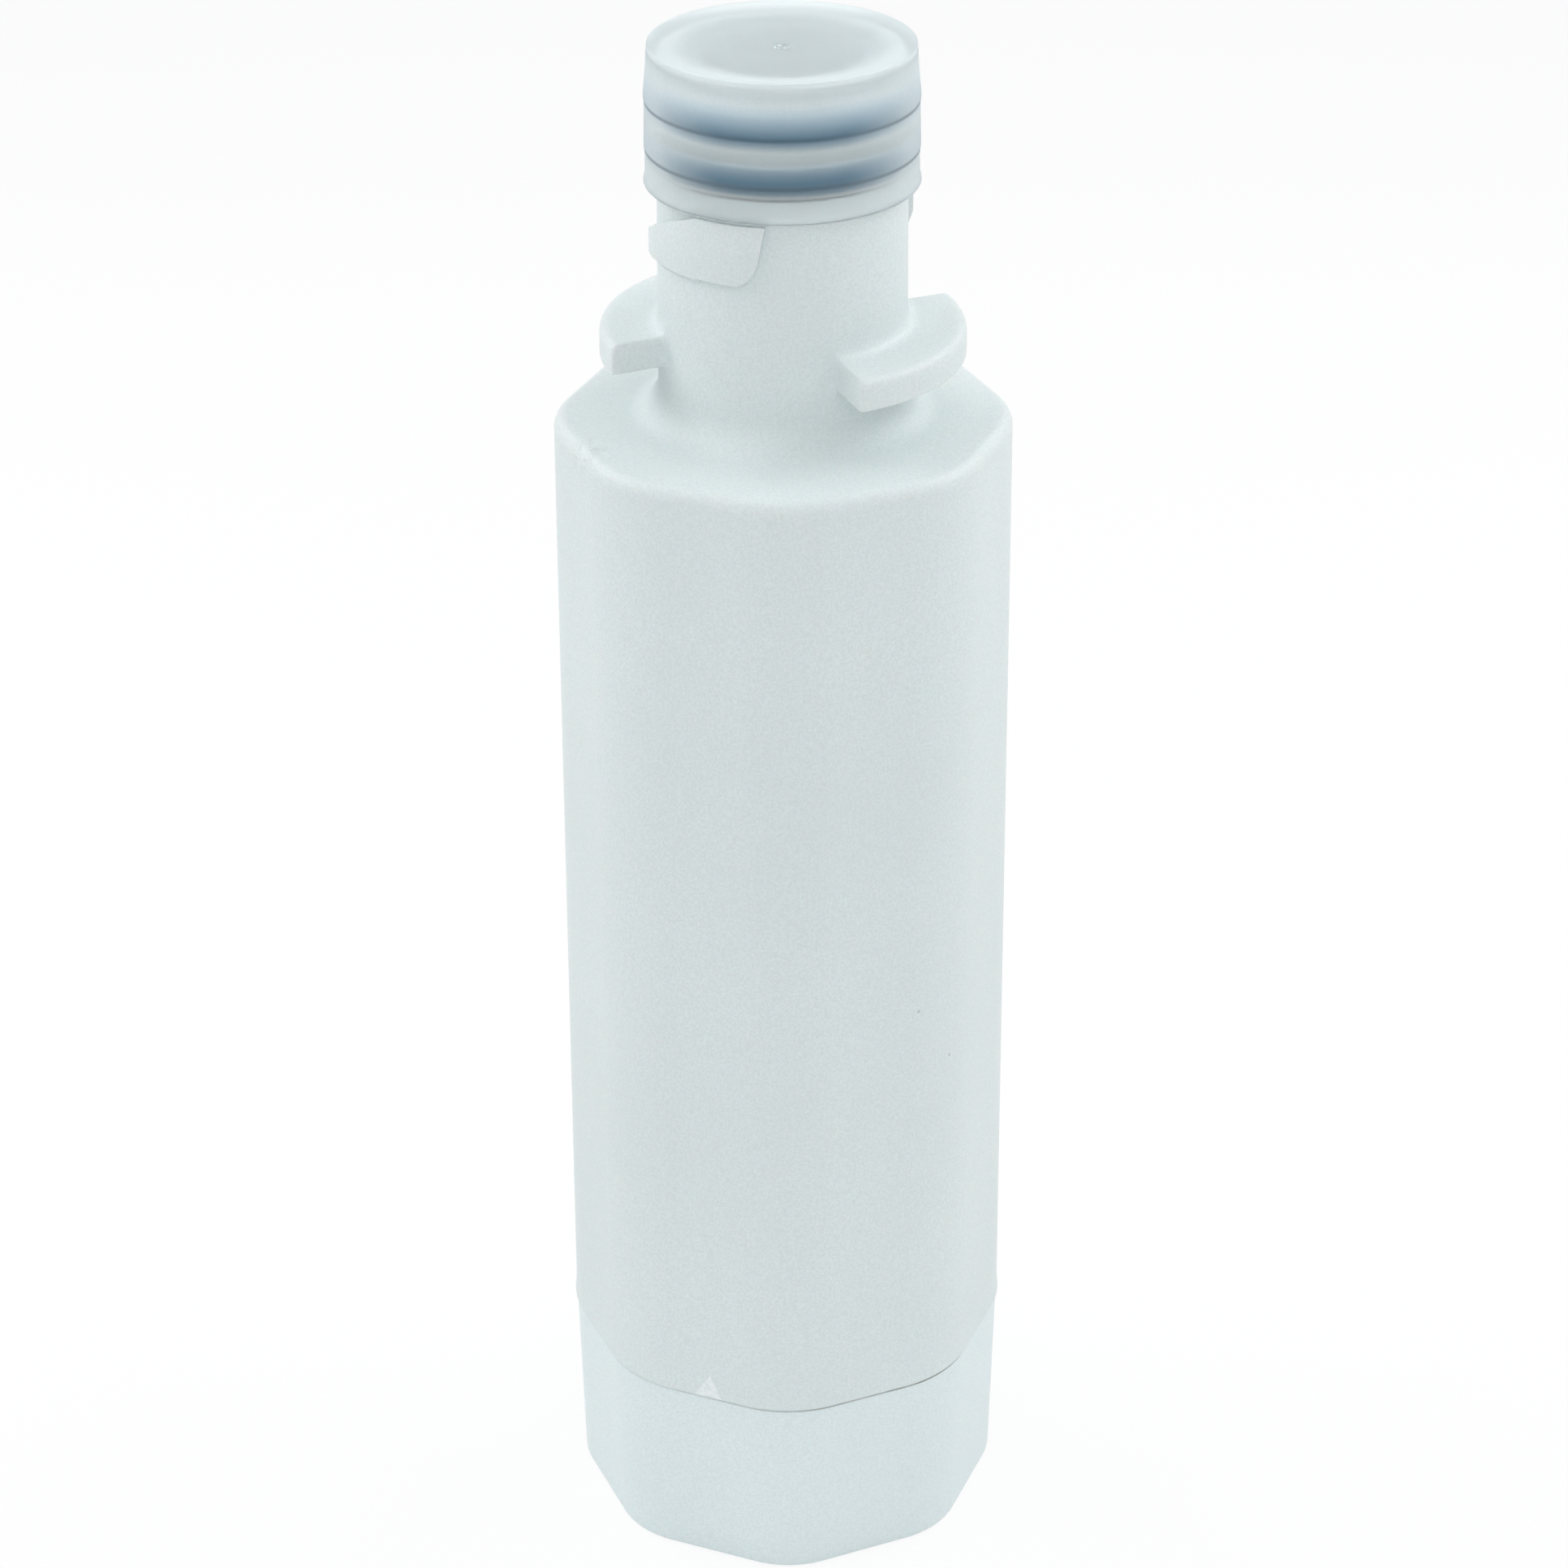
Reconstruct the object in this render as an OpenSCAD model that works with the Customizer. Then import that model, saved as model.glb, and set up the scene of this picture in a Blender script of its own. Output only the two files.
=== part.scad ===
// Twist-in refrigerator water filter cartridge.
// Origin at the middle of the underside, +Z up the axis, lengths in millimetres.
// An azimuth is measured from -Y towards +X. A corner of the body points to -Y.
// Raw water enters beside the port socket, runs down outside the filter block,
// through it to the core, and up the stem of the top end cap to the socket.

/* [Housing body] */
// Height of the base cup, from the underside to the seam
base_h = 30.65; // [20:0.05:45]
// Height of the housing from the seam to the edge of the shoulder
body_h = 150.25; // [100:0.05:200]
// Half the distance across flats at the seam
seam_flat_r = 32.12; // [31.6:0.01:34]
// Corner radius at the seam
seam_corner_r = 17.55; // [12:0.01:20]
// Half the distance across flats at the shoulder
shoulder_flat_r = 31.47; // [30.8:0.01:33]
// Corner radius at the shoulder
shoulder_corner_r = 18.7; // [12:0.01:22]
// Radius of the rounded edge of the shoulder
shoulder_edge_r = 2; // [1:0.1:3]
// Rise of the sloping shoulder from its edge to the foot of the neck
shoulder_rise = 0.6; // [0.2:0.1:1.5]
// Thickness of the shoulder
shoulder_t = 3.3; // [2.5:0.1:4.5]
// Radius of the round bore of the body
bore_r = 28.5; // [27:0.05:28.7]
// How far the lower edge of the housing flares out over the base cup
seam_flare = 0.18; // [0.1:0.01:0.4]
// Height of that flare
seam_flare_h = 2.6; // [1.5:0.1:5]

/* [Base cup] */
// Half the distance across flats at the underside
foot_flat_r = 31.14; // [30:0.01:32]
// Corner radius at the underside
foot_corner_r = 14; // [10:0.1:18]
// Step in from the housing to the base cup at the seam
seam_step = 0.25; // [0.1:0.01:0.6]
// Radius of the edge round the underside
foot_edge_r = 0.8; // [0.3:0.1:1.5]
// Thickness of the floor of the base cup
cup_floor_t = 3; // [2:0.1:4]
// Radius of the shallow recess in the underside
foot_recess_r = 24; // [15:0.5:27]
// Depth of that recess
foot_recess_d = 0.6; // [0.2:0.1:1]
// Middle radius of the weld tongue that stands on the rim of the cup
tongue_r = 30.05; // [29.9:0.05:30.2]
// Thickness of the weld tongue
tongue_t = 1.1; // [0.8:0.1:1.2]
// Height of the weld tongue
tongue_h = 2.4; // [1.5:0.1:4]
// Number of stiffening ribs on the floor of the cup
cup_ribs = 8; // [4:1:12]
// Thickness of those ribs
cup_rib_t = 1.4; // [1:0.1:2]
// Height of those ribs above the floor
cup_rib_h = 2.4; // [1.5:0.1:3]

/* [Neck] */
// Height of the neck above the shoulder
neck_h = 52; // [48:0.1:60]
// Radius of the neck at its end face
neck_end_r = 17.2; // [17:0.05:17.5]
// Radius of the neck just above its foot
neck_foot_r = 17.6; // [17.4:0.05:18]
// Radius of the hollow blend at the foot of the neck
neck_blend_r = 5.2; // [3:0.1:7]
// Chamfer round the end face
neck_chamfer = 0.6; // [0.3:0.1:1]
// Radius of the bore inside the neck
neck_bore_r = 13.6; // [12.5:0.1:14]

/* [Ports] */
// Radius of the port well in the end of the neck
well_r = 11; // [10.5:0.1:11.4]
// Depth of the port well
well_d = 20.4; // [16:0.1:24]
// Thickness of the floor of the well
well_floor_t = 3.5; // [2.5:0.1:5]
// Radius of the bore of the outlet socket
socket_r = 6.2; // [5.8:0.05:6.4]
// Wall of the outlet socket
socket_wall = 1.8; // [1.4:0.1:1.9]
// Length of the bore of the outlet socket
socket_l = 15.5; // [14:0.1:18]
// Number of inlet holes in the floor of the well
inlet_holes = 8; // [4:1:10]
// Radius of an inlet hole
inlet_r = 1.3; // [0.8:0.05:1.4]

/* [Bayonet lugs] */
// Height of the underside of the lugs above the shoulder
lug_z = 9.6; // [8:0.1:12]
// Thickness of a lug
lug_t = 4.4; // [3.5:0.1:5.5]
// Outer radius of the lugs
lug_r = 25.8; // [23:0.1:28]
// Azimuth at which the first lug starts
lug_start = 23.5; // [0:1:60]
// Angle that a lug covers
lug_span = 89.5; // [60:0.5:100]
// Radius of the upper outer edge of a lug
lug_edge_r = 1.3; // [0.5:0.1:1.8]
// Radius of the hollow blend between a lug and the neck
lug_blend_r = 1.7; // [0.8:0.1:2.2]
// Bevel on the upper edge of the ends of a lug
lug_end_bevel = 0.8; // [0.3:0.1:1.5]

/* [Cam keys] */
// Outer radius of the keys
key_r = 18.6; // [18.2:0.05:18.8]
// Height of the underside of the keys above the shoulder
key_z = 24.3; // [21:0.1:26]
// Height of a key
key_h = 9.8; // [8:0.1:10.2]
// Azimuth of the tall end of the front key
key_start = -8; // [-15:0.5:0]
// Angle that the front key covers
key_span = 84; // [78:0.5:95]
// Angle of the front key that its sloping cam takes
cam_span = 49; // [40:0.5:60]
// Drop of the cam to the low end of the key
cam_drop = 6.6; // [5:0.1:7]
// Azimuth at which the back key starts
back_key_start = 101; // [95:0.5:110]
// Angle that the back key covers
back_key_span = 71; // [50:0.5:75]

/* [Alignment mark] */
// Width of the raised triangle above the seam
mark_w = 3; // [2:0.1:5]
// Height of the raised triangle
mark_h = 3.6; // [2:0.1:6]
// How far the triangle stands out
mark_t = 0.35; // [0.2:0.05:0.6]

/* [Port rings] */
// Thickness of the section of a port ring
ring_t = 3.6; // [3:0.1:4]
// Distance of the middle of the upper ring below the end face
ring_drop = 5.3; // [4.8:0.1:6]
// Distance between the two rings
ring_pitch = 7; // [6:0.1:8]
// Free width of a gland beside its ring
gland_play = 0.8; // [0.4:0.1:1.2]

/* [Protective cap] */
// Radius of the bore of the protective cap
cap_bore_r = 17.95; // [17.9:0.01:18.1]
// Wall of the protective cap
cap_wall = 1; // [0.7:0.05:1.3]
// Height of the protective cap
cap_h = 19.5; // [17:0.1:19.8]
// Thickness of the closed end of the cap
cap_top_t = 1.2; // [0.8:0.1:1.8]
// Height of the raised rim round the closed end
cap_rim_h = 0.8; // [0.4:0.1:1.2]
// Draft of the top of the cap, on its radius
cap_draft = 0.55; // [0.2:0.05:0.7]
// How far the lip stands out
cap_lip = 0.2; // [0.1:0.05:0.4]
// Height of the lip
cap_lip_h = 0.9; // [0.5:0.1:1.5]
// How far the wall bulges over each port ring
cap_bulge = 0.06; // [0:0.01:0.15]
// Distance that the cap lifts to come off
cap_travel = 45; // [30:1:80]

/* [Filter block] */
// Radius of the carbon block
block_r = 23; // [20:0.1:23.2]
// Radius of the bore of the carbon block
core_r = 6.5; // [6.3:0.1:9]
// Thickness of the sediment sleeve
sediment_t = 2; // [1:0.1:2.1]
// Thickness of the fabric wrap
wrap_t = 0.3; // [0.2:0.05:0.4]
// Thickness of the net sleeve
net_t = 0.5; // [0.3:0.05:0.8]
// Thickness of the liner in the bore of the block
liner_t = 0.4; // [0.2:0.05:0.5]
// Thickness of each layer of adhesive
glue_t = 0.8; // [0.4:0.1:1.2]

/* [End caps] */
// Thickness of the disc of an end cap
disc_t = 2.6; // [2:0.1:3.5]
// Height of the skirt of an end cap beyond its disc
skirt_h = 7; // [5:0.1:10]
// Wall of the skirt
skirt_t = 1.2; // [0.9:0.1:1.4]
// Height of the ribs that hold the top end cap off the shoulder
stand_h = 3.5; // [2.5:0.1:6]
// Number of those ribs
stand_ribs = 6; // [3:1:8]
// Length of the locating spigots in the bore of the block
spigot_l = 5; // [3:0.1:8]
// Wall of the spigot on the top end cap
spigot_wall = 1.2; // [0.8:0.1:1.4]
// Number of centring fins on the bottom end cap
fins = 4; // [3:1:6]
// Height of a centring fin
fin_h = 9; // [6:0.1:12]
// Thickness of ribs and fins
fin_t = 1.6; // [1.2:0.1:2.4]

/* [Stem] */
// Length of the stem inside the socket
stem_grip = 8.5; // [8:0.1:10]
// Radius of the bore of the stem
stem_bore_r = 2.9; // [2:0.1:3]
// Thickness of the section of a stem ring
stem_ring_t = 1.8; // [1.6:0.1:1.9]
// Distance between the stem rings
stem_ring_pitch = 3; // [2.8:0.1:3.4]

/* [Outlet screen] */
// Thickness of the screen
screen_t = 0.6; // [0.4:0.1:1]
// Radius of a hole of the screen
screen_hole_r = 0.35; // [0.2:0.05:0.4]

/* [Seat pad] */
// Height of the seat pad
pad_h = 5; // [4:0.1:8]
// Outer radius of the seat pad
pad_r = 12; // [10:0.1:16]
// Inner radius of the seat pad
pad_hole_r = 6; // [3:0.1:7]
// Wall of the ring that holds the pad
pad_ring_t = 1.5; // [1:0.1:2]
// Height of that ring
pad_ring_h = 3.6; // [2.5:0.1:3.8]

/* [Clearances] */
// Between the port rings and the bore of the cap
ring_gap = 0.02; // [0.01:0.005:0.05]
// Between parts that are pushed together
fit_gap = 0.05; // [0.02:0.01:0.1]
// Between the closed end of the cap and the end of the neck
cap_gap = 0.1; // [0.05:0.05:0.3]
// Between the centring fins and the bore of the base cup
fin_gap = 0.25; // [0.1:0.05:0.3]
// Between the stem and the bore of its socket
stem_gap = 0.25; // [0.15:0.05:0.3]

/* [Hidden] */
$fn = 96;
hull_fn = 64;
corners = 8;
corner_step = 360 / corners;
// A solid that is cut or joined reaches this far past the other's face
cut = 0.5;
// A blend starts this far inside the wall that it springs from
bite = 0.12;
slice = 0.2;

shoulder_z = base_h + body_h;
ceiling_z = shoulder_z - shoulder_t;
neck_z = shoulder_z + neck_h;
blend_z = shoulder_z + shoulder_rise + neck_blend_r;
well_z = neck_z - well_d;
well_under_z = well_z - well_floor_t;
socket_z = well_z - socket_l;
socket_wall_r = socket_r + socket_wall;
lug_low_z = shoulder_z + lug_z;
lug_top_z = lug_low_z + lug_t;
key_low_z = shoulder_z + key_z;
key_top_z = key_low_z + key_h;
wall_in = 1.6;
// The sloping part of the shoulder ends this far inside the flats' edges
slope_in = 0.4;
slope_r = shoulder_flat_r - shoulder_edge_r - slope_in;

cup_flat_r = seam_flat_r - seam_step;
cup_corner_r = seam_corner_r - seam_step;
groove_t = tongue_t + 2 * fit_gap;
groove_h = tongue_h + fit_gap;

ring_mid_r = cap_bore_r - ring_gap - ring_t / 2;
gland_r = ring_mid_r - ring_t / 2;
gland_w = ring_t + gland_play;
ring_upper_z = neck_z - ring_drop;
ring_lower_z = ring_upper_z - ring_pitch;

cap_seat_z = neck_z + cap_gap;
cap_floor_z = cap_seat_z + cap_top_t;
cap_rim_z = cap_floor_z + cap_rim_h;
cap_low_z = cap_rim_z - cap_h;
cap_r = cap_bore_r + cap_wall;
cap_rim_r = cap_r - cap_draft;

pad_z = cup_floor_t;
bottom_cap_z = pad_z + pad_h;
bottom_glue_z = bottom_cap_z + disc_t;
block_z = bottom_glue_z + glue_t;
top_disc_top_z = ceiling_z - stand_h;
top_disc_z = top_disc_top_z - disc_t;
block_top_z = top_disc_z - glue_t;
block_h = block_top_z - block_z;
sleeve_r = block_r + sediment_t;
wrap_r = sleeve_r + wrap_t;
skirt_in_r = wrap_r + fit_gap;
skirt_out_r = skirt_in_r + skirt_t;
net_in_r = wrap_r + fit_gap / 2;
net_z = bottom_glue_z + skirt_h;
net_h = top_disc_z - skirt_h - net_z;
liner_r = core_r - liner_t;
spigot_r = liner_r - fit_gap;

stem_r = socket_r - stem_gap;
stem_top_z = socket_z + stem_grip;
stem_ring_mid_r = socket_r - fit_gap / 2 - stem_ring_t / 2;
stem_gland_r = stem_ring_mid_r - stem_ring_t / 2;
stem_gland_w = stem_ring_t + 0.3;
stem_ring_lower_z = stem_top_z - stem_grip / 2 - stem_ring_pitch / 2;
stem_ring_upper_z = stem_ring_lower_z + stem_ring_pitch;

// Points on an arc round [x, y], from angle a to angle b, in n steps
function arc(x, y, r, a, b, n = 8) =
    [for (i = [0:n]) [x + r * cos(a + (b - a) * i / n), y + r * sin(a + (b - a) * i / n)]];

// Distance from the axis to the middle of a rounded corner
function corner_centre(flat_r, corner_r) = (flat_r - corner_r) / cos(corner_step / 2);

// Half the distance across flats of the housing at height z
function flat_at(z) =
    seam_flat_r + (shoulder_flat_r - seam_flat_r) * (z - base_h) / (body_h - shoulder_edge_r);

// Radius of the neck at height z
function neck_at(z) =
    neck_foot_r + (neck_end_r - neck_foot_r) * (z - blend_z) / (neck_z - blend_z);

// Children placed at the rounded corners of the body
module at_corners(flat_r, corner_r) {
    for (k = [0:corners - 1])
        rotate(k * corner_step)
            translate([0, -corner_centre(flat_r, corner_r), 0])
                children();
}

// Child turned so that its own -Y side points to an azimuth
module at_azimuth(a) {
    rotate(a) children();
}

// A ring sector that starts at an azimuth, from a radius and height outline
module sector(start, span, outline) {
    rotate(start - 90)
        rotate_extrude(angle = span)
            polygon(outline);
}

module ring(middle_r, thickness, z) {
    translate([0, 0, z])
        rotate_extrude()
            translate([middle_r, 0])
                circle(d = thickness);
}

module tube(outer_r, inner_r, z, h) {
    translate([0, 0, z])
        difference() {
            cylinder(r = outer_r, h = h);
            translate([0, 0, -cut]) cylinder(r = inner_r, h = h + 2 * cut);
        }
}

// Housing

module housing_body() {
    hull() {
        at_corners(seam_flat_r, seam_corner_r)
            translate([0, 0, base_h])
                cylinder(r = seam_corner_r, h = slice, $fn = hull_fn);
        at_corners(shoulder_flat_r, shoulder_corner_r)
            rotate_extrude($fn = hull_fn)
                polygon(concat(
                    [[0, shoulder_z], [0, shoulder_z - shoulder_edge_r - slice],
                     [shoulder_corner_r, shoulder_z - shoulder_edge_r - slice]],
                    arc(shoulder_corner_r - shoulder_edge_r, shoulder_z - shoulder_edge_r,
                        shoulder_edge_r, 0, 90, 6)
                ));
    }
}

module seam_band() {
    top_flat_r = flat_at(base_h + seam_flare_h) - bite / 2;
    hull() {
        at_corners(seam_flat_r, seam_corner_r)
            translate([0, 0, base_h])
                cylinder(r = seam_corner_r + seam_flare, h = slice, $fn = hull_fn);
        at_corners(top_flat_r, seam_corner_r)
            translate([0, 0, base_h + seam_flare_h])
                cylinder(r = seam_corner_r, h = slice, $fn = hull_fn);
    }
}

// The shoulder slope, the hollow blend and the neck, turned as one form
module neck_form() {
    foot_r = neck_foot_r + neck_blend_r;
    rotate_extrude()
        polygon(concat(
            [[0, ceiling_z + cut], [slope_r, ceiling_z + cut], [slope_r, shoulder_z]],
            arc(foot_r, blend_z, neck_blend_r, 270, 180),
            [[neck_at(neck_z - neck_chamfer), neck_z - neck_chamfer],
             [neck_end_r - neck_chamfer, neck_z], [0, neck_z]]
        ));
}

module lug_form() {
    root_r = neck_at(lug_low_z) - bite;
    inner_r = root_r - wall_in;
    low_edge_r = 0.3;
    low_blend_r = lug_blend_r / 2;
    sector(lug_start, lug_span, concat(
        [[inner_r, lug_low_z - low_blend_r]],
        arc(root_r + low_blend_r, lug_low_z - low_blend_r, low_blend_r, 180, 90, 4),
        arc(lug_r - low_edge_r, lug_low_z + low_edge_r, low_edge_r, 270, 360, 3),
        arc(lug_r - lug_edge_r, lug_top_z - lug_edge_r, lug_edge_r, 0, 90, 6),
        arc(root_r + lug_blend_r, lug_top_z + lug_blend_r, lug_blend_r, 270, 180, 5),
        [[inner_r, lug_top_z + lug_blend_r]]
    ));
}

// Cuts a bevel along the upper edge of a lug's end face.
// side is 1 where the lug lies before the azimuth and -1 where it lies after.
module lug_end_cut(azimuth, side) {
    edge = (lug_end_bevel + cut) * sqrt(2);
    at_azimuth(azimuth)
        translate([side * cut, -(lug_r + neck_foot_r + lug_blend_r) / 2, lug_top_z])
            rotate([0, 45, 0])
                cube([edge, lug_r - neck_foot_r - lug_blend_r + 2 * cut, edge], center = true);
}

module bayonet_lugs() {
    for (turn = [0, 180])
        rotate(turn)
            difference() {
                lug_form();
                lug_end_cut(lug_start, -1);
                lug_end_cut(lug_start + lug_span, 1);
            }
}

module key_form(start, span) {
    root_r = neck_at(key_low_z) - bite;
    drop = key_r - root_r;
    bevel = 0.4;
    sector(start, span, [
        [root_r - wall_in, key_low_z], [root_r, key_low_z], [key_r, key_low_z + drop],
        [key_r, key_top_z - bevel], [key_r - bevel, key_top_z], [root_r - wall_in, key_top_z]
    ]);
}

// Leans the end of a key and takes off its lower corner.
// side is 1 where the key lies before the azimuth and -1 where it lies after.
module key_end_cut(azimuth, side) {
    lean = 13;
    corner_up = 3.6;
    corner_in = 2.6;
    reach = 6;
    at_azimuth(azimuth)
        mirror([(1 - side) / 2, 0, 0])
            translate([0, -key_r, 0]) {
                translate([0, 0, key_top_z])
                    rotate([0, lean, 0])
                        translate([0, -reach / 2, -2 * key_h])
                            cube([reach, reach, 3 * key_h]);
                translate([-corner_in, 0, key_low_z + corner_up / 2])
                    rotate([0, 45, 0])
                        translate([0, -reach / 2, -2 * reach])
                            cube([reach, reach, 4 * reach]);
            }
}

// Takes the upper side of the front key down to its low end as a sloping cam
module cam_cut() {
    middle = key_start - key_span + cam_span / 2;
    run = 2 * key_r * sin(cam_span / 2);
    slope = atan(cam_drop / run);
    reach = 2 * run;
    at_azimuth(middle)
        translate([0, -key_r, key_top_z - cam_drop / 2])
            rotate([0, -slope, 0])
                translate([-reach, -reach / 4, 0])
                    cube([2 * reach, reach / 2, reach / 2]);
}

module cam_keys() {
    difference() {
        key_form(key_start - key_span, key_span);
        key_end_cut(key_start, 1);
        cam_cut();
    }
    difference() {
        key_form(back_key_start, back_key_span);
        key_end_cut(back_key_start, -1);
        key_end_cut(back_key_start + back_key_span, 1);
    }
}

module alignment_mark() {
    depth = 1;
    at_azimuth(-corner_step / 2)
        translate([0, -(flat_at(base_h) + mark_t), base_h])
            rotate([-90, 0, 0])
                linear_extrude(depth + mark_t)
                    polygon([[-mark_w / 2, 0], [mark_w / 2, 0], [0, -mark_h]]);
}

// The hollow of the body and the neck, with the outlet socket left standing
module housing_hollow() {
    corner_r = 3;
    lead_r = 1.5;
    rotate_extrude()
        polygon(concat(
            [[0, base_h - cut], [bore_r, base_h - cut]],
            arc(bore_r - corner_r, ceiling_z - corner_r, corner_r, 0, 90, 5),
            arc(neck_bore_r + lead_r, ceiling_z + lead_r, lead_r, 270, 180, 4),
            [[neck_bore_r, well_under_z], [socket_wall_r, well_under_z],
             [socket_wall_r, socket_z], [0, socket_z]]
        ));
}

module weld_groove() {
    tube(tongue_r + groove_t / 2, tongue_r - groove_t / 2, base_h - cut, groove_h + cut);
}

module ports() {
    lead = 0.8;
    hole_ring_r = (socket_wall_r + well_r) / 2;
    translate([0, 0, well_z]) cylinder(r = well_r, h = well_d + cut);
    translate([0, 0, neck_z - lead])
        cylinder(r1 = well_r, r2 = well_r + lead + cut, h = lead + cut);
    translate([0, 0, socket_z - cut]) cylinder(r = socket_r, h = socket_l + 2 * cut);
    for (k = [0:inlet_holes - 1])
        rotate(k * 360 / inlet_holes)
            translate([hole_ring_r, 0, well_under_z - cut])
                cylinder(r = inlet_r, h = well_floor_t + 2 * cut, $fn = 24);
}

module gland(z) {
    tube(neck_foot_r + cut, gland_r, z - gland_w / 2, gland_w);
}

module housing() {
    color([0.84, 0.87, 0.87])
        difference() {
            union() {
                housing_body();
                seam_band();
                neck_form();
                bayonet_lugs();
                cam_keys();
                alignment_mark();
            }
            housing_hollow();
            weld_groove();
            ports();
            gland(ring_upper_z);
            gland(ring_lower_z);
        }
}

// Base cup

module cup_form() {
    hull() {
        at_corners(foot_flat_r, foot_corner_r)
            rotate_extrude($fn = hull_fn)
                polygon(concat(
                    [[0, foot_edge_r + slice], [0, 0]],
                    arc(foot_corner_r - foot_edge_r, foot_edge_r, foot_edge_r, 270, 360, 4),
                    [[foot_corner_r, foot_edge_r + slice]]
                ));
        at_corners(cup_flat_r, cup_corner_r)
            translate([0, 0, base_h - slice])
                cylinder(r = cup_corner_r, h = slice, $fn = hull_fn);
    }
}

module cup_hollow() {
    corner_r = 3;
    rotate_extrude()
        polygon(concat(
            [[0, cup_floor_t]],
            arc(bore_r - corner_r, cup_floor_t + corner_r, corner_r, 270, 360, 5),
            [[bore_r, base_h + cut], [0, base_h + cut]]
        ));
}

module cup_rib(k) {
    rotate((k + 0.5) * 360 / cup_ribs)
        translate([pad_r + fit_gap + pad_ring_t / 2, -cup_rib_t / 2, cup_floor_t - cut])
            cube([bore_r + cut - pad_r - fit_gap - pad_ring_t / 2, cup_rib_t, cup_rib_h + cut]);
}

module base_cup() {
    color([0.85, 0.89, 0.89])
        union() {
            difference() {
                cup_form();
                cup_hollow();
                translate([0, 0, -cut]) cylinder(r = foot_recess_r, h = foot_recess_d + cut);
            }
            tube(tongue_r + tongue_t / 2, tongue_r - tongue_t / 2, base_h - cut, tongue_h + cut);
            tube(pad_r + fit_gap + pad_ring_t, pad_r + fit_gap,
                 cup_floor_t - cut, pad_ring_h + cut);
            for (k = [0:cup_ribs - 1]) cup_rib(k);
        }
}

// Protective cap

module cap_outside() {
    bulge_h = 0.9;
    edge_r = 0.3;
    rim_w = 0.9;
    slope_r = 5;
    rotate_extrude()
        polygon(concat(
            [[0, cap_low_z], [cap_r + cap_lip / 2, cap_low_z],
             [cap_r + cap_lip, cap_low_z + cap_lip_h / 4],
             [cap_r + cap_lip, cap_low_z + cap_lip_h / 2], [cap_r, cap_low_z + cap_lip_h],
             [cap_r, ring_lower_z - bulge_h], [cap_r + cap_bulge, ring_lower_z],
             [cap_r, ring_lower_z + bulge_h], [cap_r, ring_upper_z - bulge_h],
             [cap_r + cap_bulge, ring_upper_z]],
            arc(cap_rim_r - edge_r, cap_rim_z - edge_r, edge_r, 0, 90, 4),
            [[cap_rim_r - rim_w, cap_rim_z], [cap_rim_r - rim_w - slope_r, cap_floor_z],
             [0, cap_floor_z]]
        ));
}

module cap_inside() {
    taper_z = ring_upper_z + ring_t / 2;
    lead = 0.4;
    end_r = cap_rim_r - cap_wall;
    rotate_extrude()
        polygon([
            [0, cap_low_z - cut], [cap_bore_r + lead + cut, cap_low_z - cut],
            [cap_bore_r, cap_low_z + lead], [cap_bore_r, taper_z],
            [end_r, cap_seat_z], [0, cap_seat_z]
        ]);
}

module protective_cap() {
    dimple_r = 1.5;
    dimple_d = 0.3;
    pip_r = 0.35;
    color([0.86, 0.9, 0.92, 0.6])
        difference() {
            cap_outside();
            cap_inside();
            tube(dimple_r, pip_r, cap_floor_z - dimple_d, dimple_d + cut);
        }
}

// Seals

module port_ring_upper() {
    color([0.13, 0.15, 0.18]) ring(ring_mid_r, ring_t, ring_upper_z);
}

module port_ring_lower() {
    color([0.13, 0.15, 0.18]) ring(ring_mid_r, ring_t, ring_lower_z);
}

module stem_ring_upper() {
    color([0.1, 0.1, 0.12]) ring(stem_ring_mid_r, stem_ring_t, stem_ring_upper_z);
}

module stem_ring_lower() {
    color([0.1, 0.1, 0.12]) ring(stem_ring_mid_r, stem_ring_t, stem_ring_lower_z);
}

// Filter block and its end caps

module top_end_cap() {
    stem_lead = 0.5;
    stem_foot_r = stem_r + 1.5;
    stem_foot_h = 3;
    rib_in_r = stem_r + 0.5;
    rib_out_r = skirt_out_r - 2;
    spigot_z = top_disc_z - spigot_l;
    color([0.9, 0.92, 0.94])
        difference() {
            union() {
                rotate_extrude()
                    polygon([
                        [0, spigot_z], [spigot_r, spigot_z], [spigot_r, top_disc_z],
                        [skirt_in_r, top_disc_z], [skirt_in_r, top_disc_z - skirt_h],
                        [skirt_out_r, top_disc_z - skirt_h], [skirt_out_r, top_disc_top_z],
                        [stem_foot_r, top_disc_top_z], [stem_r, top_disc_top_z + stem_foot_h],
                        [stem_r, stem_top_z - stem_lead], [stem_r - stem_lead, stem_top_z],
                        [0, stem_top_z]
                    ]);
                for (k = [0:stand_ribs - 1])
                    rotate(k * 360 / stand_ribs)
                        translate([rib_in_r, -fin_t / 2, top_disc_top_z - cut])
                            cube([rib_out_r - rib_in_r, fin_t, stand_h + cut - fit_gap]);
            }
            translate([0, 0, spigot_z - cut])
                cylinder(r = stem_bore_r, h = stem_top_z - spigot_z + 2 * cut);
            translate([0, 0, spigot_z - cut])
                cylinder(r = spigot_r - spigot_wall, h = spigot_l + cut);
            for (z = [stem_ring_lower_z, stem_ring_upper_z])
                tube(socket_r + cut, stem_gland_r, z - stem_gland_w / 2, stem_gland_w);
        }
}

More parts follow.
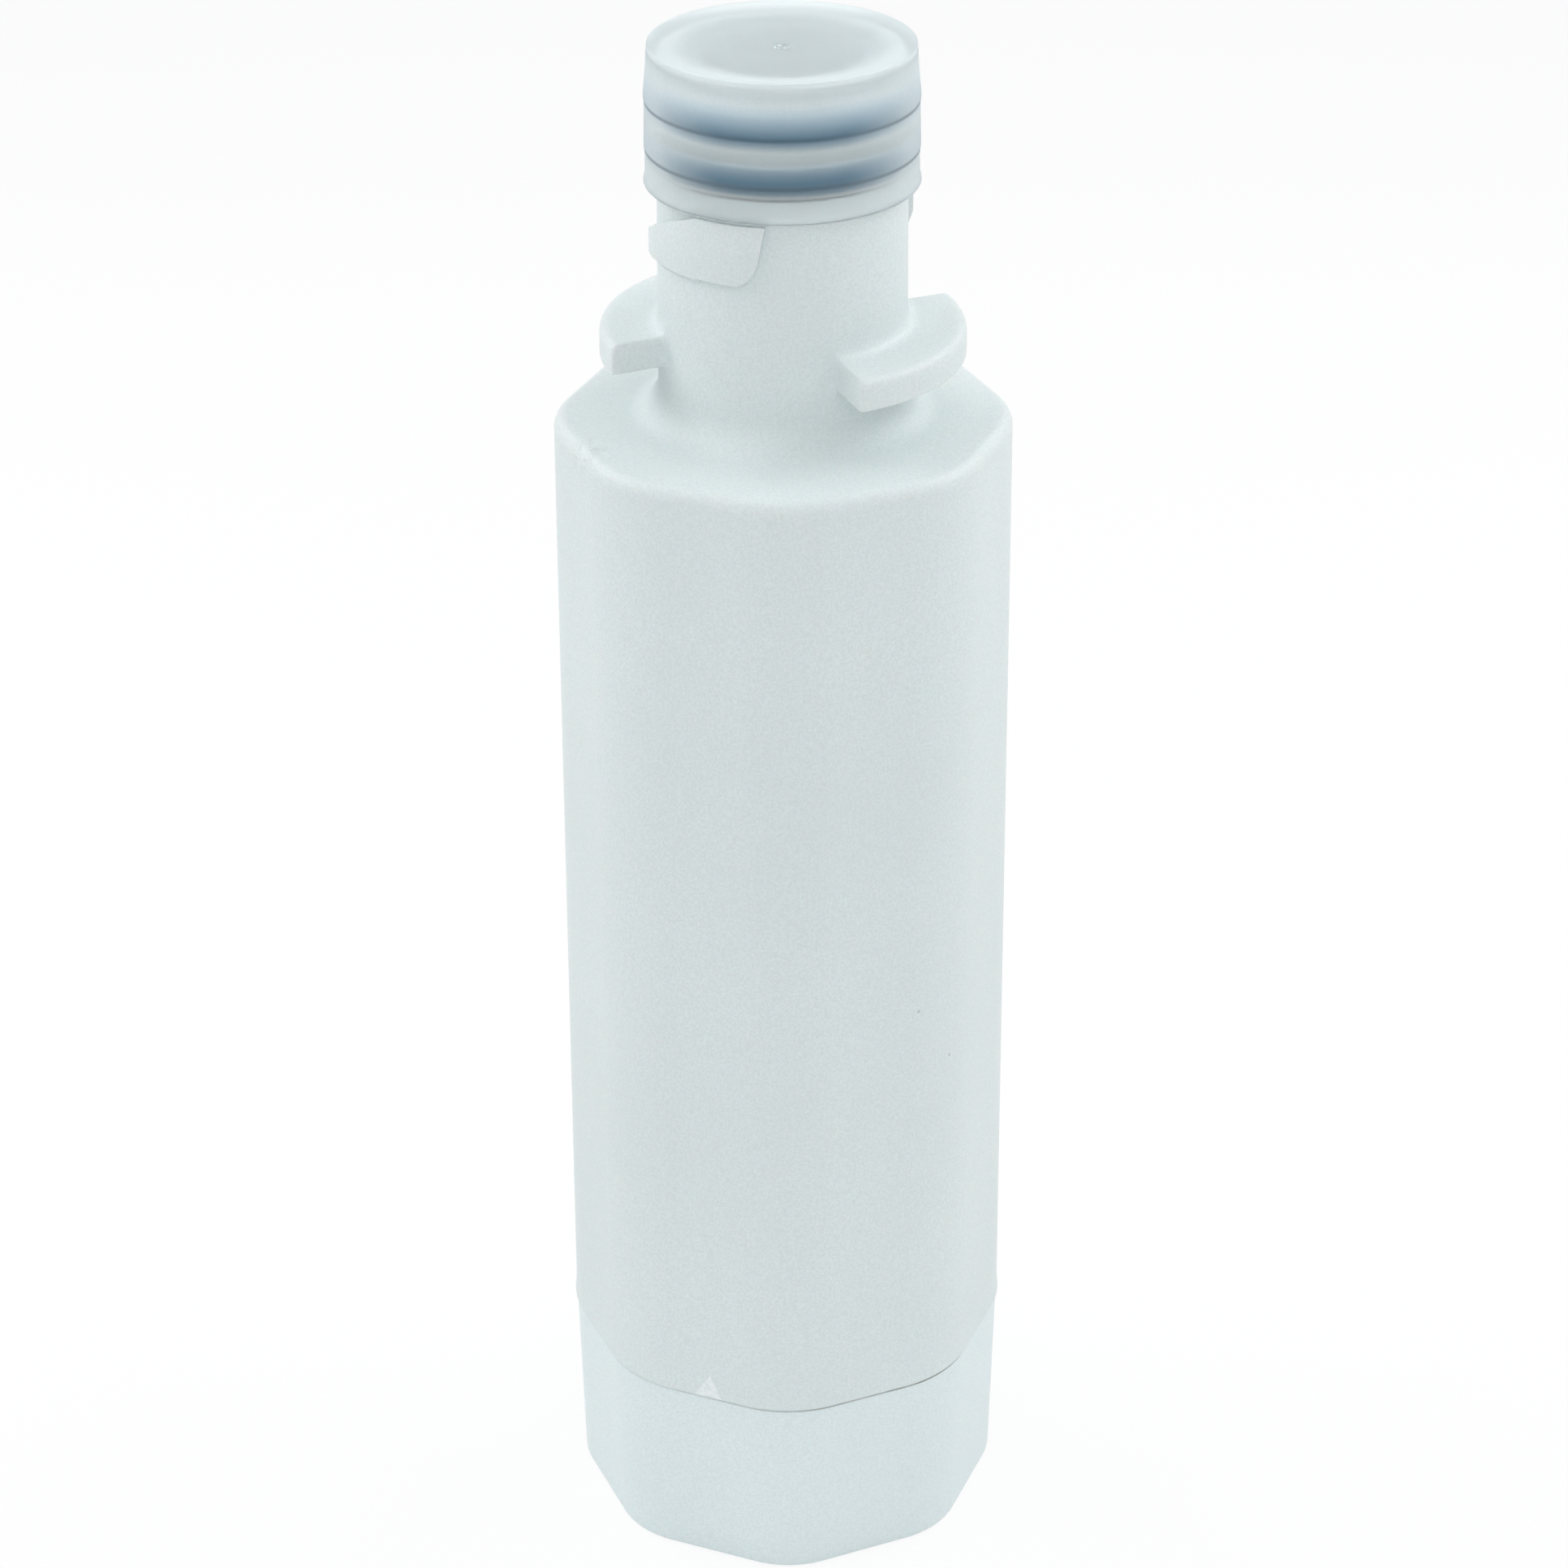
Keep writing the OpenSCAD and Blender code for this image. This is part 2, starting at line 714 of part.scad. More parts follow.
module outlet_screen() {
    plate_r = spigot_r - spigot_wall - fit_gap;
    rows = 3;
    row_pitch = plate_r / (rows + 0.6);
    color([0.75, 0.78, 0.8])
        translate([0, 0, top_disc_z - spigot_l])
            difference() {
                cylinder(r = plate_r, h = screen_t);
                for (row = [1:rows])
                    for (k = [0:6 * row - 1])
                        rotate(k * 60 / row)
                            translate([row * row_pitch, 0, -cut])
                                cylinder(r = screen_hole_r, h = screen_t + 2 * cut, $fn = 16);
            }
}

module top_adhesive() {
    color([0.86, 0.82, 0.66]) tube(wrap_r, core_r, block_top_z, glue_t);
}

module carbon_block() {
    edge = 0.5;
    color([0.12, 0.12, 0.12])
        rotate_extrude()
            polygon([
                [core_r, block_z], [block_r - edge, block_z], [block_r, block_z + edge],
                [block_r, block_top_z - edge], [block_r - edge, block_top_z],
                [core_r, block_top_z]
            ]);
}

module bore_liner() {
    color([0.93, 0.93, 0.92]) tube(core_r, liner_r, block_z, block_h);
}

module sediment_sleeve() {
    color([0.95, 0.95, 0.94]) tube(sleeve_r, block_r, block_z, block_h);
}

module fabric_wrap() {
    color([0.93, 0.94, 0.95]) tube(wrap_r, sleeve_r, block_z, block_h);
}

module net_sleeve() {
    columns = 6;
    rows = 7;
    strand = 2;
    window_h = (net_h - strand * (rows + 1)) / rows;
    window_w = PI * net_in_r / columns - strand;
    color([0.8, 0.86, 0.9])
        difference() {
            tube(net_in_r + net_t, net_in_r, net_z, net_h);
            for (row = [0:rows - 1])
                for (k = [0:columns - 1])
                    rotate((k + row / 2) * 180 / columns)
                        translate([0, 0, net_z + strand + window_h / 2 + row * (window_h + strand)])
                            cube([3 * net_in_r, window_w, window_h], center = true);
        }
}

module bottom_adhesive() {
    color([0.86, 0.82, 0.66]) tube(wrap_r, core_r, bottom_glue_z, glue_t);
}

module bottom_end_cap() {
    fin_out_r = bore_r - fin_gap;
    plug_wall = 1.4;
    color([0.9, 0.92, 0.94])
        difference() {
            union() {
                rotate_extrude()
                    polygon([
                        [0, bottom_cap_z], [skirt_out_r, bottom_cap_z],
                        [skirt_out_r, bottom_glue_z + skirt_h],
                        [skirt_in_r, bottom_glue_z + skirt_h], [skirt_in_r, bottom_glue_z],
                        [spigot_r, bottom_glue_z], [spigot_r, bottom_glue_z + spigot_l],
                        [0, bottom_glue_z + spigot_l]
                    ]);
                for (k = [0:fins - 1])
                    rotate((k + 0.5) * 360 / fins)
                        translate([skirt_in_r + skirt_t / 2, -fin_t / 2, bottom_cap_z])
                            cube([fin_out_r - skirt_in_r - skirt_t / 2, fin_t, fin_h]);
            }
            translate([0, 0, bottom_glue_z])
                cylinder(r = spigot_r - plug_wall, h = spigot_l + cut);
        }
}

module seat_pad() {
    color([0.2, 0.2, 0.21]) tube(pad_r, pad_hole_r, pad_z, pad_h);
}

housing();
base_cup();
protective_cap();
port_ring_upper();
port_ring_lower();
top_end_cap();
stem_ring_upper();
stem_ring_lower();
outlet_screen();
top_adhesive();
carbon_block();
bore_liner();
sediment_sleeve();
fabric_wrap();
net_sleeve();
bottom_adhesive();
bottom_end_cap();
seat_pad();
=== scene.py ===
"""Looks of a twist-in refrigerator water filter cartridge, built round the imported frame.

Lengths in the tables below are millimetres. Azimuths are degrees from -Y towards +X.
A corner of the rounded-octagon body points to -Y, towards the camera.
"""

import math

import bpy
import numpy as np
from mathutils import Matrix, Vector


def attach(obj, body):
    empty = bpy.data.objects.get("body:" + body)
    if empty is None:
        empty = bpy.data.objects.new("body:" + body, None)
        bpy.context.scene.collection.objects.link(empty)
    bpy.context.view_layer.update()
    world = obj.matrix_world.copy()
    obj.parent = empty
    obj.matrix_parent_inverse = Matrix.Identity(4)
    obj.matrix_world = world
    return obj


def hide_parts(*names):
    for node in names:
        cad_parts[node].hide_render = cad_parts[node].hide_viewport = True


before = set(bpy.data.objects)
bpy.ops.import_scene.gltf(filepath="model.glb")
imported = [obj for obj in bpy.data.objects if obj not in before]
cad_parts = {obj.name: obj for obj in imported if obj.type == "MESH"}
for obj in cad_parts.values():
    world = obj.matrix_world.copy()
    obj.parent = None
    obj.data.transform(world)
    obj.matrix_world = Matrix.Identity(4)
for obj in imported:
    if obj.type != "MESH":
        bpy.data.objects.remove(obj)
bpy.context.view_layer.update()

MM = 0.001
CORNERS = 8
HALF_CORNER = math.radians(180 / CORNERS)
COLUMNS = 256

# Heights of the main levels
SEAM_Z = 30.65
SHOULDER_Z = 180.9
CEILING_Z = 177.6
NECK_END_Z = 232.9
BLEND_R = 5.2
BLEND_Z = SHOULDER_Z + 0.6 + BLEND_R
WELL_Z = 212.5
WELL_UNDER_Z = 209.0
SOCKET_Z = 197.0

# Radii of the neck and its ports
NECK_FOOT_R = 17.6
NECK_END_R = 17.2
WELL_R = 11.0
SOCKET_R = 6.2
SOCKET_WALL_R = 8.0
NECK_BORE_R = 13.6
BODY_BORE_R = 28.5
GLAND_R = 14.33
RING_UPPER_Z = 227.6
RING_LOWER_Z = 220.6
RING_MIDDLE_R = 16.13
RING_SECTION_R = 1.8
GLAND_HALF = 2.2

# Body, as half the distance across flats and the corner radius
SEAM_FLAT, SEAM_CORNER = 32.12, 17.55
TOP_FLAT, TOP_CORNER = 31.47, 18.7
FOOT_FLAT, FOOT_CORNER = 31.14, 14.0


# Modelling helpers


def start_piece():
    """Leaves edit mode and deselects everything, so that an operator only meets what is meant."""
    if bpy.context.object and bpy.context.object.mode != "OBJECT":
        bpy.ops.object.mode_set(mode="OBJECT")
    bpy.ops.object.select_all(action="DESELECT")


def arc(x, z, r, start, end, steps=8):
    """Points on an arc in the plane of a half section."""
    turn = (end - start) / steps
    angles = [math.radians(start + turn * i) for i in range(steps + 1)]
    return [(x + r * math.cos(a), z + r * math.sin(a)) for a in angles]


def draw_chain(name, places, closed=True):
    """Draws a chain of edges: one vertex, extruded from place to place."""
    start_piece()
    bpy.ops.mesh.primitive_plane_add(size=MM, location=(0, 0, 0), enter_editmode=True)
    piece = bpy.context.object
    piece.name = piece.data.name = name
    bpy.ops.mesh.select_mode(type="VERT")
    bpy.ops.mesh.merge(type="CENTER")
    bpy.ops.transform.translate(value=places[0])
    for a, b in zip(places, places[1:] + places[:1] * closed):
        bpy.ops.mesh.extrude_vertices_move(TRANSFORM_OT_translate={"value": b - a})
    bpy.ops.mesh.select_all(action="SELECT")
    bpy.ops.mesh.remove_doubles(threshold=1e-7)
    return piece


def around(radius, azimuth, z):
    """A place on a circle round the axis, in metres."""
    a = math.radians(azimuth)
    return Vector((radius * math.sin(a), -radius * math.cos(a), z)) * MM


def draw_section(name, points, azimuth=90.0, closed=True):
    """Draws half a section from (radius, height) points, in the plane of one azimuth."""
    return draw_chain(name, [around(r, azimuth, z) for r, z in points], closed)


def spin_on(span, steps):
    """Spins what is selected round the axis, and leaves its last copy selected."""
    bpy.ops.mesh.spin(
        steps=steps, angle=-math.radians(span), center=(0, 0, 0), axis=(0, 0, 1)
    )


def merge_touching():
    bpy.ops.mesh.select_all(action="SELECT")
    bpy.ops.mesh.remove_doubles(threshold=1e-7)


def turn_section(span=360.0, steps=COLUMNS):
    """Turns the section that is being drawn into a solid, or into part of one."""
    bpy.ops.mesh.select_all(action="SELECT")
    spin_on(span, steps)
    merge_touching()


def close_ends():
    """Fills the open ends of a part turn and points all faces outwards."""
    bpy.ops.mesh.select_all(action="DESELECT")
    bpy.ops.mesh.select_mode(type="EDGE")
    bpy.ops.mesh.select_non_manifold(
        extend=False, use_wire=False, use_multi_face=False, use_non_contiguous=False
    )
    bpy.ops.mesh.fill_holes(sides=0)
    face_outwards()


def face_outwards():
    bpy.ops.mesh.select_all(action="SELECT")
    bpy.ops.mesh.normals_make_consistent(inside=False)


def smooth(piece, angle=32.0):
    start_piece()
    piece.select_set(True)
    bpy.context.view_layer.objects.active = piece
    bpy.ops.object.shade_smooth_by_angle(angle=math.radians(angle))


def points_of(piece):
    """The places of all vertices, in millimetres."""
    flat = np.empty(len(piece.data.vertices) * 3)
    piece.data.vertices.foreach_get("co", flat)
    return flat.reshape(-1, 3) / MM


def radius_of(points):
    return np.hypot(points[:, 0], points[:, 1])


def azimuth_of(points):
    return np.degrees(np.arctan2(points[:, 0], -points[:, 1])) % 360


def pick(piece, kind, mask):
    """Opens a piece in edit mode with the masked VERTs, EDGEs or FACEs selected."""
    bpy.ops.object.mode_set(mode="OBJECT")
    mesh = piece.data
    groups = {"VERT": mesh.vertices, "EDGE": mesh.edges, "FACE": mesh.polygons}
    for name, group in groups.items():
        group.foreach_set("select", mask if name == kind else np.zeros(len(group), bool))
    bpy.context.tool_settings.mesh_select_mode = [name == kind for name in groups]
    bpy.ops.object.mode_set(mode="EDIT")


def edge_ends(piece):
    """The two ends of every edge, in millimetres."""
    bpy.ops.object.mode_set(mode="OBJECT")
    ends = np.empty(len(piece.data.edges) * 2, int)
    piece.data.edges.foreach_get("vertices", ends)
    co = points_of(piece)
    return co[ends[::2]], co[ends[1::2]]


def face_middles(piece):
    bpy.ops.object.mode_set(mode="OBJECT")
    flat = np.empty(len(piece.data.polygons) * 3)
    piece.data.polygons.foreach_get("center", flat)
    return flat.reshape(-1, 3) / MM


def pull_to(piece, radius, target, z):
    """Moves the vertices at one radius and height in or out to another radius."""
    bpy.ops.object.mode_set(mode="OBJECT")
    co = points_of(piece)
    pick(piece, "VERT", (abs(radius_of(co) - radius) < 0.05) & (abs(co[:, 2] - z) < 0.05))
    bpy.ops.transform.resize(value=(target / radius, target / radius, 1), center_override=(0, 0, 0))


def push_corners(piece, levels):
    """Pulls a turned mesh out at its eight corners, which makes rings into rounded octagons.

    levels holds (radius, height, distance from the axis to the middle of the corner).
    """
    bpy.ops.object.mode_set(mode="OBJECT")
    co = points_of(piece)
    radius = radius_of(co)
    corner = np.round(azimuth_of(co) / (360 / CORNERS)).astype(int) % CORNERS
    push = np.zeros(len(co))
    for r, z, out in levels:
        if out:
            push[(abs(radius - r) < 1e-3) & (abs(co[:, 2] - z) < 1e-3)] = out
    for out in sorted(set(push) - {0.0}):
        for k in range(CORNERS):
            pick(piece, "VERT", (push == out) & (corner == k))
            bpy.ops.transform.translate(value=around(out, k * 360 / CORNERS, 0))
    bpy.ops.object.mode_set(mode="OBJECT")


def octagon(flat, corner, z):
    """A level of the body: corner radius, height, and how far its corners are pushed out."""
    return (corner, z, (flat - corner) / math.cos(HALF_CORNER))


def ring_level(points):
    return [(r, z, 0.0) for r, z in points]


def body_level(z, stand_off=0.0):
    """A level of the tapered body between the seam and the shoulder."""
    share = (z - SEAM_Z) / (SHOULDER_Z - 2.0 - SEAM_Z)
    flat = SEAM_FLAT + (TOP_FLAT - SEAM_FLAT) * share
    corner = SEAM_CORNER + (TOP_CORNER - SEAM_CORNER) * share
    return octagon(flat + stand_off, corner + stand_off, z)


def turned_body(name, levels, closed=True):
    """A closed body from levels: turned first, then pushed out at its corners.

    A section that starts and ends on the axis is left open there.
    """
    half_step = 180 / COLUMNS
    piece = draw_section(name, [(r, z) for r, z, _ in levels], 90 + half_step, closed)
    turn_section()
    face_outwards()
    push_corners(piece, levels)
    return piece


def neck_r(z):
    share = (z - BLEND_Z) / (NECK_END_Z - BLEND_Z)
    return NECK_FOOT_R + (NECK_END_R - NECK_FOOT_R) * share


# Housing


def housing_levels():
    flare = [(0.25, 0.0), (0.07, 0.06), (0.0, 0.24)]
    low = [octagon(SEAM_FLAT + 0.18 - i, SEAM_CORNER + 0.18 - i, SEAM_Z + u) for i, u in flare]
    band = [(0.6, 0.165), (1.2, 0.11), (1.8, 0.05), (2.4, 0.012), (2.9, 0.0), (3.6, 0.0)]
    low += [body_level(SEAM_Z + up, out) for up, out in band]
    walls = [body_level(z) for z in (60.0, 90.0, 120.0, 150.0, 172.0, 178.2)]
    edge = [
        octagon(TOP_FLAT - 2.0 + x, TOP_CORNER - 2.0 + x, z)
        for x, z in arc(0, SHOULDER_Z - 2.0, 2.0, 0, 90, 10)
    ]
    slope = [
        octagon(TOP_FLAT - 2.5, TOP_CORNER - 2.2, SHOULDER_Z + 0.05),
        octagon(27.6, 22.0, SHOULDER_Z + 0.17),
        (26.0, SHOULDER_Z + 0.31, 0.0),
        (24.3, SHOULDER_Z + 0.47, 0.0),
    ]
    blend = arc(NECK_FOOT_R + BLEND_R, BLEND_Z, BLEND_R, 266, 180, 16)
    neck = [(neck_r(z), z) for z in (BLEND_Z + 0.6, 200.0, 203.0, 216.5)]
    for z in (RING_LOWER_Z, RING_UPPER_Z):
        low_z, high_z = z - GLAND_HALF, z + GLAND_HALF
        neck += [
            (neck_r(low_z), low_z - 0.4), (neck_r(low_z), low_z - 0.15),
            (neck_r(low_z) - 0.15, low_z), (GLAND_R + 0.3, low_z),
            (GLAND_R, low_z + 0.3), (GLAND_R, high_z - 0.3),
            (GLAND_R + 0.3, high_z), (neck_r(high_z) - 0.15, high_z),
            (neck_r(high_z), high_z + 0.15), (neck_r(high_z), high_z + 0.4),
        ]
    neck += arc(NECK_END_R - 0.6, NECK_END_Z - 0.6, 0.6, 0, 90, 5)
    neck += arc(WELL_R + 0.8, NECK_END_Z - 0.8, 0.8, 90, 180, 5)
    port = [(WELL_R, 222.0)] + arc(WELL_R - 0.5, WELL_Z + 0.5, 0.5, 0, -90, 4)
    port += [(SOCKET_R + 0.4, WELL_Z), (SOCKET_R, WELL_Z - 0.4), (SOCKET_R, 205.0)]
    port += [(SOCKET_R, SOCKET_Z), (SOCKET_WALL_R, SOCKET_Z), (SOCKET_WALL_R, WELL_UNDER_Z)]
    port += [(NECK_BORE_R, WELL_UNDER_Z)]
    hollow = arc(NECK_BORE_R + 1.5, CEILING_Z + 1.5, 1.5, 180, 270, 4)
    hollow += arc(BODY_BORE_R - 3.0, CEILING_Z - 3.0, 3.0, 90, 0, 5)
    groove_z = SEAM_Z + 2.45
    hollow += [(BODY_BORE_R, 100.0), (BODY_BORE_R, SEAM_Z), (29.45, SEAM_Z)]
    hollow += [(29.45, groove_z), (30.65, groove_z), (30.65, SEAM_Z)]
    return low + walls + edge + slope + ring_level(blend + neck + port + hollow)


LUG_LOW_Z, LUG_TOP_Z, LUG_R = 190.5, 194.9, 25.8
LUG_START, LUG_SPAN = 23.5, 89.5
LUG_RING_LOW_Z, LUG_RING_TOP_Z = 188.0, 199.4
NECK_ROW_LOW_Z, NECK_ROW_TOP_Z = BLEND_Z + 0.6, 200.0
# Subdivision draws a ring of 64 columns in by this share
CAGE_GROWTH = 1.0016


def lug_ring():
    """A ring of the neck with both lugs drawn out of it, rounded as one surface."""
    rows = [LUG_RING_LOW_Z, 189.0, LUG_LOW_Z, 191.2, 192.7, LUG_TOP_Z, 197.9, LUG_RING_TOP_Z]
    section = [(neck_r(z) * CAGE_GROWTH, z) for z in rows]
    ring = draw_section("lug_ring", section, LUG_START, closed=False)
    end_column = 2.2
    for _ in range(2):
        spin_on(end_column, 1)
        spin_on(LUG_SPAN - 2 * end_column, 14)
        spin_on(end_column, 1)
        spin_on(180 - LUG_SPAN, 16)
    merge_touching()
    face_outwards()
    middles = face_middles(ring)
    turned = (azimuth_of(middles) - LUG_START) % 180
    pick(ring, "FACE", (turned < LUG_SPAN) & (middles[:, 2] > LUG_LOW_Z) & (middles[:, 2] < LUG_TOP_Z))
    reached = neck_r(LUG_LOW_Z)
    root_r, edge_r = 19.3, 25.0
    for radius in (root_r, edge_r, LUG_R):
        bpy.ops.mesh.extrude_region_move()
        growth = radius / reached
        bpy.ops.transform.resize(value=(growth, growth, 1), center_override=(0, 0, 0))
        reached = radius
    pull_to(ring, root_r, 20.4, LUG_TOP_Z)
    pull_to(ring, edge_r, 23.6, LUG_TOP_Z)
    crease_lugs(ring)
    bpy.ops.object.mode_set(mode="OBJECT")
    rounding = ring.modifiers.new("rounding", "SUBSURF")
    rounding.levels = rounding.render_levels = 2
    bpy.ops.object.modifier_apply(modifier=rounding.name)
    return ring


def crease_lugs(ring):
    """Keeps the lower edges and the end edges of the lugs tighter than the upper ones."""
    a, b = edge_ends(ring)
    outside = (radius_of(a) > LUG_R - 0.1) & (radius_of(b) > LUG_R - 0.1)
    low = (a[:, 2] < LUG_LOW_Z + 0.1) & (b[:, 2] < LUG_LOW_Z + 0.1)
    pick(ring, "EDGE", outside & low)
    bpy.ops.transform.edge_crease(value=0.5)
    turned = (azimuth_of((a + b) / 2) - LUG_START) % 180
    at_end = (turned < 0.1) | (turned > 179.9) | (abs(turned - LUG_SPAN) < 0.1)
    pick(ring, "EDGE", at_end & low & (radius_of(a) > 19.0) & (radius_of(b) > 19.0))
    bpy.ops.transform.edge_crease(value=0.4)
    pick(ring, "EDGE", at_end & outside)
    bpy.ops.transform.edge_crease(value=0.15)


def fit_lug_ring(piece):
    """Cuts a row out of the neck, puts the ring with the lugs there and closes both gaps."""
    middles = face_middles(piece)
    in_row = (middles[:, 2] > NECK_ROW_LOW_Z) & (middles[:, 2] < NECK_ROW_TOP_Z)
    pick(piece, "FACE", in_row & (radius_of(middles) > NECK_BORE_R + 1))
    bpy.ops.mesh.delete(type="FACE")
    bpy.ops.object.mode_set(mode="OBJECT")
    piece = join([piece, lug_ring()], piece.name)
    for z, ring_z in ((NECK_ROW_LOW_Z, LUG_RING_LOW_Z), (NECK_ROW_TOP_Z, LUG_RING_TOP_Z)):
        a, b = edge_ends(piece)
        at_gap = np.ones(len(a), bool)
        for end in (a, b):
            at_gap &= (abs(end[:, 2] - z) < 0.01) | (abs(end[:, 2] - ring_z) < 0.01)
            at_gap &= radius_of(end) > NECK_BORE_R + 1
        pick(piece, "EDGE", at_gap)
        bpy.ops.mesh.bridge_edge_loops()
    face_outwards()
    return piece


KEY_R, KEY_LOW_Z, KEY_TOP_Z = 18.6, 205.2, 215.0
KEY_CHAMFER = 1.0


def shave(piece, a, b, keep_up):
    """Cuts a key along the line from a to b, both (azimuth, height) on its outer face."""
    start, end = around(KEY_R, *a), around(KEY_R, *b)
    outwards = around(1.0, (a[0] + b[0]) / 2, 0)
    normal = (end - start).cross(outwards).normalized()
    if not keep_up:
        normal = -normal
    bpy.ops.mesh.select_all(action="SELECT")
    bpy.ops.mesh.bisect(
        plane_co=start, plane_no=normal, use_fill=True, clear_outer=True, clear_inner=False
    )


def reshape_lower_edge(key, edge):
    """Moves the underside of a key up or down, by (azimuth, root, outer edge) points."""
    bpy.ops.object.mode_set(mode="OBJECT")
    co = points_of(key)
    azimuth = (azimuth_of(co) + 180) % 360 - 180
    turns, root_moves, outer_moves = zip(*edge)
    low = co[:, 2] < KEY_LOW_Z + KEY_CHAMFER + 0.01
    outer = radius_of(co) > KEY_R - 0.05
    move = np.where(outer, np.interp(azimuth, turns, outer_moves), np.interp(azimuth, turns, root_moves))
    move = np.round(move * low, 3)
    for up in sorted(set(move) - {0.0}):
        pick(key, "VERT", move == up)
        bpy.ops.transform.translate(value=(0, 0, up * MM))


def cam_key(name, start, span, cuts, edge=()):
    """A key on the neck: a part turn of its section, shaved to its outline, with eased edges."""
    root = neck_r(210.0) - 1.6
    points = [(root, KEY_LOW_Z), (neck_r(KEY_LOW_Z), KEY_LOW_Z), (KEY_R, KEY_LOW_Z + KEY_CHAMFER)]
    points += [(KEY_R, KEY_TOP_Z), (root, KEY_TOP_Z)]
    key = draw_section(name, points, start)
    turn_section(span, round(span))
    close_ends()
    if edge:
        reshape_lower_edge(key, edge)
    for a, b, keep_up in cuts:
        shave(key, a, b, keep_up)
    face_outwards()
    bpy.ops.object.mode_set(mode="OBJECT")
    ease = key.modifiers.new("eased edges", "BEVEL")
    ease.width, ease.segments, ease.limit_method = 0.3 * MM, 3, "ANGLE"
    ease.angle_limit = math.radians(20)
    bpy.ops.object.modifier_apply(modifier=ease.name)
    return key


FRONT_KEY_CUTS = [
    ((-7.8, 215.1), (-11.5, 209.4), False),
    ((-11.5, 209.4), (-13.3, 208.15), False),
    ((-13.3, 208.15), (-16.0, 207.1), False),
    ((-16.0, 207.1), (-20.5, 206.3), False),
    ((-43.0, 214.6), (-39.5, 215.0), False),
    ((-65.5, 211.9), (-43.0, 214.6), False),
    ((-91.0, 208.3), (-65.5, 211.9), False),
]
# Azimuth, then how far the root and the outer edge of the underside move there
FRONT_KEY_EDGE = [
    (-92.0, -1.35, -0.95), (-80.0, -0.6, -0.45), (-68.0, -0.25, -0.1), (-56.0, 0.0, 0.0),
    (-42.0, 0.0, 0.0), (-40.0, 0.75, 0.15), (-5.0, 0.75, 0.15),
]
BACK_KEY_CUTS = [
    ((101.0, 215.0), (101.8, 209.3), True),
    ((101.8, 209.3), (110.0, 206.0), True),
    ((172.0, 215.0), (171.2, 209.3), False),
    ((171.2, 209.3), (163.0, 206.0), False),
]


MARK_AZIMUTH = -180 / CORNERS
MARK_HALF_WIDTH, MARK_HEIGHT, MARK_LEAN = 2.45, 4.25, 0.28


def alignment_mark():
    """The small raised triangle that stands just above the seam, with sloping sides."""
    outwards, across = around(1.0, MARK_AZIMUTH, 0), around(1.0, MARK_AZIMUTH + 90, 0)
    raised, sunk, slope = 0.35, 0.6, 0.34
    foot = outwards * (SEAM_FLAT - sunk)
    low_z = SEAM_Z + 0.06
    corners = [(-MARK_HALF_WIDTH, low_z), (MARK_HALF_WIDTH, low_z), (MARK_LEAN, SEAM_Z + MARK_HEIGHT)]
    places = [foot + across * x + Vector((0, 0, z)) * MM for x, z in corners]
    mark = draw_chain("alignment_mark", places)
    bpy.ops.mesh.edge_face_add()
    bpy.ops.mesh.extrude_region_move(TRANSFORM_OT_translate={"value": outwards * sunk})
    bpy.ops.mesh.inset(thickness=slope * MM, depth=raised * MM)
    face_outwards()
    bpy.ops.object.mode_set(mode="OBJECT")
    return mark


INLET_HOLES, INLET_R = 8, 1.3


def inlet_drills():
    """The drills for the inlet holes in the floor of the port well."""
    middle = (SOCKET_WALL_R + WELL_R) / 2
    drills = []
    for k in range(INLET_HOLES):
        start_piece()
        bpy.ops.mesh.primitive_cylinder_add(
            vertices=32, radius=INLET_R * MM, depth=6 * MM,
            location=around(middle, 360 / INLET_HOLES * k + 90, (WELL_Z + WELL_UNDER_Z) / 2),
        )
        drills.append(bpy.context.object)
    return join(drills, "inlet_drills")


def combine(piece, tool, operation):
    """Adds a tool to a piece or takes it away, and removes the tool."""
    start_piece()
    piece.select_set(True)
    bpy.context.view_layer.objects.active = piece
    step = piece.modifiers.new("combine", "BOOLEAN")
    step.object, step.operation, step.solver = tool, operation, "EXACT"
    bpy.ops.object.modifier_apply(modifier=step.name)
    bpy.data.objects.remove(tool, do_unlink=True)


def join(pieces, name):
    start_piece()
    for piece in pieces:
        piece.select_set(True)
    bpy.context.view_layer.objects.active = pieces[0]
    bpy.ops.object.join()
    pieces[0].name = pieces[0].data.name = name
    return pieces[0]


def housing_skin():
    skin = fit_lug_ring(turned_body("housing_shell", housing_levels()))
    front = cam_key("key_front", -92.0, 86.0, FRONT_KEY_CUTS, FRONT_KEY_EDGE)
    back = cam_key("key_back", 99.0, 75.0, BACK_KEY_CUTS)
    combine(skin, join([front, back, alignment_mark()], "raised_forms"), "UNION")
    combine(skin, inlet_drills(), "DIFFERENCE")
    smooth(skin, 30)
    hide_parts("housing")
    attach(skin, "cartridge")
    return skin


# Base cup

# How far the cup's wall stands in from the housing at the seam
CUP_STEP = 0.1


